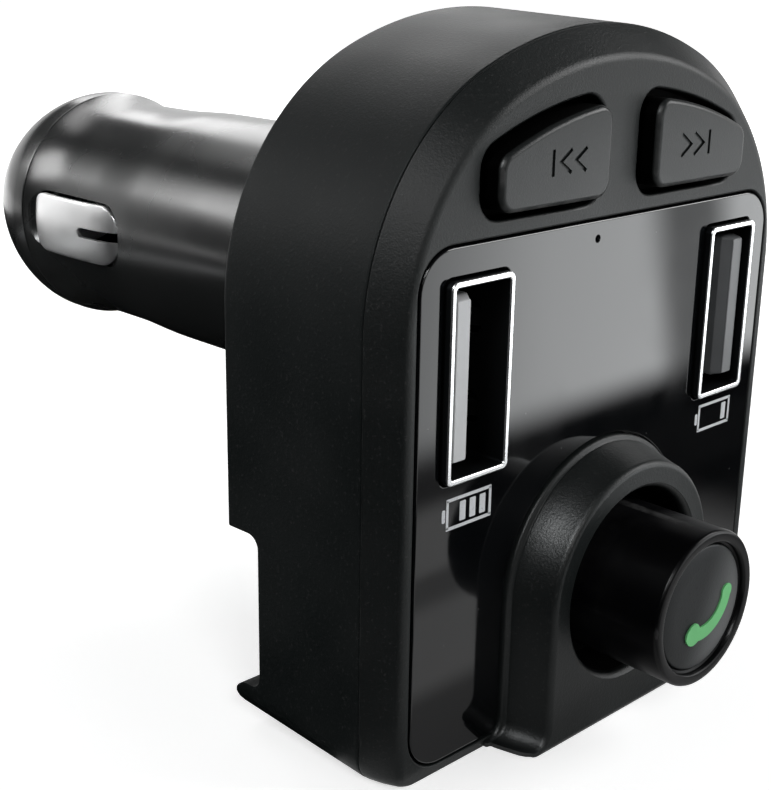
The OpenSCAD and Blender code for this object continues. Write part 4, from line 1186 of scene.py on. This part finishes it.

# %% [markdown]
# ## Charging sockets
# A Type A socket is a bent steel shell with a plastic tongue near one long wall and four gilt
# strips on it. The shell's mouth is the brightest line on the whole face, so its rim is a real
# rolled edge. Sprung tabs are punched out of the long walls. The tongue's end is chamfered, and
# comes close to the mouth. The right tongue takes a darker copy of the pale plastic, as painted
# shade inside its socket.

# %% Build the socket shell
MOUTH = -15.6
rim_rings = [(y, socket_outline(e)) for y, e in rolled(MOUTH, 0.0, 0.12, 4)] + [(-15.1, socket_outline(0.0))]
rim_rings += [(y, box_outline(SOCKET_X, SOCKET_Z, 5.6, 13.1, 0.5)) for y in (-15.0, -3.6)]
right_shell = skin_mesh("right_socket_shell", rim_rings)
throat = skin_mesh("throat", [(y, box_outline(SOCKET_X, SOCKET_Z, 5.0 + 2 * e, 12.5 + 2 * e, 0.2 + e))
                              for y, e in flared(MOUTH, -3.0, 0.0, 0.12)])
carve(right_shell, [throat])
TAB_SPOTS = [(side_sign, z) for side_sign in (-1, 1) for z in (-3.1, 3.1)]


def tab_slot(side_sign, z):
    wall = SOCKET_X + side_sign * 2.75
    pts = [(u - 10.6, v + SOCKET_Z + z) for u, v in box_outline(0, 0, 5.2, 2.3, 0.9)]
    return side_mesh("tab_slot", [(x, pts) for x in (wall - 0.6, wall + 0.6)])


def spring_tab(side_sign, z):
    """A punched tab that bows into the socket and rests its end near the mouth."""
    layers = []
    for i in range(11):
        t = i / 10
        lean = 0.62 * math.sin(math.pi * min(1.0, t * 1.15)) ** 1.2
        x, y, half = SOCKET_X + side_sign * (2.6 - lean), -8.2 - 5.0 * t, 0.75 * (1 - 0.25 * t)
        layers.append([(x + side_sign * dx, y, SOCKET_Z + z + dz)
                       for dx, dz in ((0.0, -half), (0.0, half), (0.22, half), (0.22, -half))])
    return stack_mesh("tab", layers)


carve(right_shell, [tab_slot(*spot) for spot in TAB_SPOTS])
right_shell = join_pieces("right_socket_shell", [right_shell] + [spring_tab(*spot) for spot in TAB_SPOTS])
print(f"Socket shell of {len(right_shell.data.polygons)} faces, with its tabs")

# %% [markdown]
# ## Tongue and strips
# The tongue is a thin slab whose end narrows towards the mouth. Its four gilt strips are inlaid
# on the open side and dip in at their ends. The right socket is built, and the left one is its
# mirror image.

# %% Build the tongues and place both sockets
tongue_rings = [(y, box_outline(x, SOCKET_Z, w, h, r, 4)) for y, x, w, h, r in (
    (-15.15, 15.2, 1.1, 10.5, 0.12), (-15.11, 15.2, 1.2, 10.6, 0.15), (-15.0, 15.2, 1.25, 10.7, 0.18),
    (-14.45, 15.05, 1.78, 11.0, 0.22), (-14.35, 15.03, 1.84, 11.1, 0.25), (-4.5, 15.03, 1.84, 11.1, 0.25))]
right_tongue = skin_mesh("right_socket_tongue", tongue_rings)
root = skin_mesh("root", [(y, box_outline(SOCKET_X, SOCKET_Z, 4.9, 12.4, 0.2)) for y in (-6.6, -3.6)])
carve(right_tongue, [root], "UNION")
right_strips = join_pieces("right_socket_strips", [
    skin_mesh("strip", [(y, box_outline(14.01 + dip, SOCKET_Z + z, 0.2, 1.0, 0.06, 3))
                        for y, dip in ((-13.6, 0.12), (-13.3, 0.0), (-7.0, 0.0), (-6.9, 0.0))])
    for z in (-3.5, -1.0, 1.0, 3.5)])
# The right tongue takes the darker copy of the pale plastic, as painted shade inside its socket.
for side_name, tongue_mat in (("left", pale_plastic), ("right", shaded_pale_plastic)):
    for piece, mat, slot_name, node_name in ((right_shell, bright_shell, "bright_shell", "usb_shell"),
                                             (right_tongue, tongue_mat, "pale_plastic", "usb_insulator"),
                                             (right_strips, gilt, "gilt_contact", "usb_contacts")):
        made = piece if side_name == "right" else mirrored_copy(piece, piece.name.replace("right", "left"))
        finish_piece(made, mat, "head", stands_for=[f"{node_name}_{side_name}"], corner=35)

# %% [markdown]
# ## Plug
# The barrel is a turned sleeve: straight, then drawn in a little between the side contacts, then
# flared to meet the screwed nose. It is turned with many steps, because long highlights run
# along it and would show every facet. The two slots for the side contacts are cut with tools
# that widen outwards, so their edges come out soft.

# %% Build the barrel
def eased(a, b, n, first=0):
    """Points from a to b that start and end level, for smooth changes of radius."""
    out = []
    for i in range(first, n + 1):
        t = i / n
        s = t * t * (3 - 2 * t)
        out.append((a[0] + (b[0] - a[0]) * s, a[1] + (b[1] - a[1]) * t))
    return out


PLUG_R, WAIST_R, PLUG_STEPS = 10.4, 10.13, 160
CONTACT_Y = 38.0
sleeve = [(8.7, -3.2), (11.8, -3.2), (11.8, -1.65), (PLUG_R, -1.65), (PLUG_R, 29.0)]
sleeve += eased((PLUG_R, 29.0), (WAIST_R, 36.0), 6, 1) + [(WAIST_R, 40.5)]
sleeve += [(WAIST_R + 0.72 * s, 40.5 + 5.5 * t) for t, s in (
    (0.2, 0.04), (0.35, 0.12), (0.5, 0.24), (0.65, 0.4), (0.78, 0.58), (0.9, 0.79), (0.965, 0.93))]
sleeve += [(10.83, 45.9), (10.72, 45.97), (9.6, 46.0), (9.6, 50.5), (8.7, 50.5)]
plug_sleeve = turned_mesh("plug_sleeve", 0, 0, sleeve, PLUG_STEPS)

slot_rings = []
for x, grow in ((7.2, 0.0), (9.75, 0.0), (10.05, 0.03), (10.35, 0.3), (12.0, 0.3)):
    slot_rings.append((x, box_outline(CONTACT_Y, 0.0, 14.0 + 2 * grow, 5.6 + 2 * grow, 2.3 + grow, 8)))
right_slot = side_mesh("right_slot", slot_rings)
left_slot = mirrored_copy(right_slot, "left_slot")
carve(plug_sleeve, [right_slot, left_slot])
finish_piece(plug_sleeve, black_barrel, "head", stands_for=["plug_barrel"], corner=32)

# %% [markdown]
# ## Nose
# The nose screws into the barrel's end, so a fine dark line parts the two. Beyond that line it
# has a short straight land, then it rounds off to a flat end with a hole for the centre pin. The
# curve falls slowly at first and faster later, which a power of the way along gives in one line.

# %% Build the nose
NOSE_R, NOSE_END = 10.85, 54.5
nose_root = [(9.65, 46.02), (10.7, 46.04), (10.8, 46.1), (NOSE_R, 46.22)]
nose_curve = [(NOSE_R - 2.745 * (i / 20) ** 1.6, 47.5 + 7.0 * i / 20) for i in range(20)]
nose_end = [(7.98, 54.42), (7.75, NOSE_END), (3.55, NOSE_END), (3.42, 54.38), (3.42, 53.1), (6.2, 53.1)]
nose_profile = nose_root + nose_curve + nose_end + [(6.2, 50.55), (9.65, 50.55)]
nose = turned_mesh("plug_nose", 0, 0, nose_profile, PLUG_STEPS)
finish_piece(nose, black_barrel, "head", stands_for=["nose_ring"], corner=32)

# %% [markdown]
# ## Centre contact
# The centre pin is nickel-plated brass with a domed end. A flange inside the nose keeps it from
# falling out, a stem behind that carries its spring, and a fine groove runs round it below the
# dome. All of it is round, so one turned profile makes the whole pin.

# %% Build the centre pin
PIN_R, PIN_END = 3.3, 59.5
dome = turned_edge(PIN_R, PIN_END, -1.6, -1.6, range(0, 91, 9))
stem = [(0, 49.55), (1.6, 49.55), (1.6, 51.75)]
flange = [(4.5, 51.75), (4.6, 51.85), (4.6, 52.95), (4.5, 53.05)]
groove = [(PIN_R, 53.05), (PIN_R, 55.2), (3.22, 55.3), (3.22, 55.6), (PIN_R, 55.7)]
pin = turned_mesh("centre_pin", 0, 0, stem + flange + groove + dome + [(0, PIN_END)], 96)
finish_piece(pin, bright_nickel, "tip", stands_for=["tip_contact"], corner=35)

# %% [markdown]
# ## Side contacts
# Each side contact is a springy strip that bows out of its slot and is slit from the head's end.
# A flat strip could be bent, but its edges would then stand off the barrel's round. So a bowed
# skin is turned about the plug's axis, and the strip's plan is cut out of it, which follows the
# round on every side.

# %% Build the side contacts
STRIP_START, STRIP_RUN, STRIP_FOOT_R, STRIP_WALL = 31.15, 13.7, 8.53, 0.4
SLIT_START, SLIT_END, SLIT_HALF = 29.5, 35.85, 0.45


def bowed(t):
    """The strip's radius along its length, fuller towards the nose to follow the flare."""
    return STRIP_FOOT_R + (2.35 + 0.35 * t) * max(0.0, math.sin(math.pi * t)) ** 0.17


stops = [0.5 - 0.5 * math.cos(math.pi * i / 48) for i in range(1, 48)]
strip_outer = [(bowed(t), STRIP_START + STRIP_RUN * t) for t in stops]
strip_inner = [(r - STRIP_WALL, y) for r, y in reversed(strip_outer)]
bow = turned_mesh("right_side_contact", 0, 0, [(8.15, 30.3), (8.55, 30.3)] + strip_outer
                  + [(8.55, 45.7), (8.15, 45.7)] + strip_inner, 256)
plan = box_outline(CONTACT_Y, 0.0, 13.7, 5.3, 2.4, 12)
blank = side_mesh("blank", [(x, plan) for x in (5.0, 14.0)])
feet_plan = [(30.0, -1.25), (30.0, 1.25), (46.0, 1.25), (46.0, -1.25)]
feet = side_mesh("feet", [(x, feet_plan) for x in (5.0, 14.0)])
carve(blank, [feet], "UNION")
slit_plan = ([(SLIT_START, -SLIT_HALF), (SLIT_END, -SLIT_HALF)]
             + arc(SLIT_END, 0.0, SLIT_HALF, -70, 70, 7)
             + [(SLIT_END, SLIT_HALF), (SLIT_START, SLIT_HALF)])
slit = side_mesh("slit", [(x, slit_plan) for x in (4.0, 15.0)])
carve(blank, [slit])
carve(bow, [blank], "INTERSECT")
soften(bow, 0.07, 50, 2)
left_bow = mirrored_copy(bow, "left_side_contact")
for piece, side_name in ((bow, "right"), (left_bow, "left")):
    finish_piece(piece, bright_nickel, f"{side_name}_contact",
                 stands_for=[f"side_contact_{side_name}"], corner=50)

# %% [markdown]
# ## Inner parts
# The boards, switches, encoder and spring keep their CAD shapes, since they only show through
# gaps or when the part is opened. Each still gets a finish of its own: solder-masked board with
# copper tracks, bare and plated metals, ferrite, a blue sleeve and moulded switch cases.

# %% Finish the inner parts
def board_finish():
    mat, tree, shader = start_material("board_green", Roughness=0.35)
    at = add(tree, "ShaderNodeTexCoord").outputs["Object"]
    tracks = add(tree, "ShaderNodeTexBrick", {"Scale": 260.0, "Mortar Size": 0.03, "Mortar Smooth": 0.1})
    link(tree, at, tracks.inputs["Vector"])
    tracks.inputs["Color1"].default_value = (0.012, 0.10, 0.045, 1)
    tracks.inputs["Color2"].default_value = (0.016, 0.13, 0.055, 1)
    tracks.inputs["Mortar"].default_value = (0.03, 0.22, 0.09, 1)
    clouds = place_group(tree, cloud, Scale=70.0, Soft=0.3)
    link(tree, mix_colour(tree, clouds.outputs["Cloud"], tracks.outputs["Color"], (0.012, 0.11, 0.05, 1)),
         shader.inputs["Base Color"])
    bump(tree, shader, tracks.outputs["Fac"], 2e-5, 0.6)
    return mat


board_green = board_finish()
ferrite = moulded_finish("ferrite", (0.035, 0.035, 0.038, 1), (0.06, 0.06, 0.065, 1), 0.6)
sleeve_blue = moulded_finish("sleeve_blue", (0.02, 0.03, 0.09, 1), (0.03, 0.045, 0.13, 1), 0.3)
dark_glass = moulded_finish("dark_glass", (0.004, 0.005, 0.007, 1), (0.008, 0.009, 0.012, 1), 0.08)
cream_plastic = moulded_finish("cream_plastic", (0.60, 0.57, 0.48, 1), (0.68, 0.65, 0.56, 1), 0.42)
inner_finishes = {
    "switch_left": inner_black, "switch_right": inner_black,
    "switch_stem_left": pale_plastic, "switch_stem_right": pale_plastic,
    "encoder_body": bare_steel, "encoder_shaft": bare_steel, "encoder_plunger": cream_plastic,
    "display_module": dark_glass, "microphone": bare_steel, "main_board": board_green,
    "power_board": board_green, "radio_module": bare_steel, "board_screws": bare_steel,
    "board_link": gilt, "power_inductor": ferrite, "power_capacitor": sleeve_blue,
    "ground_leads": bright_nickel, "tip_rivet": gilt, "tip_spring": bare_steel,
}
for node_name, finish in inner_finishes.items():
    for material_slot in nodes[node_name].material_slots:
        material_slot.material = finish
print(f"{len(inner_finishes)} inner CAD nodes finished")
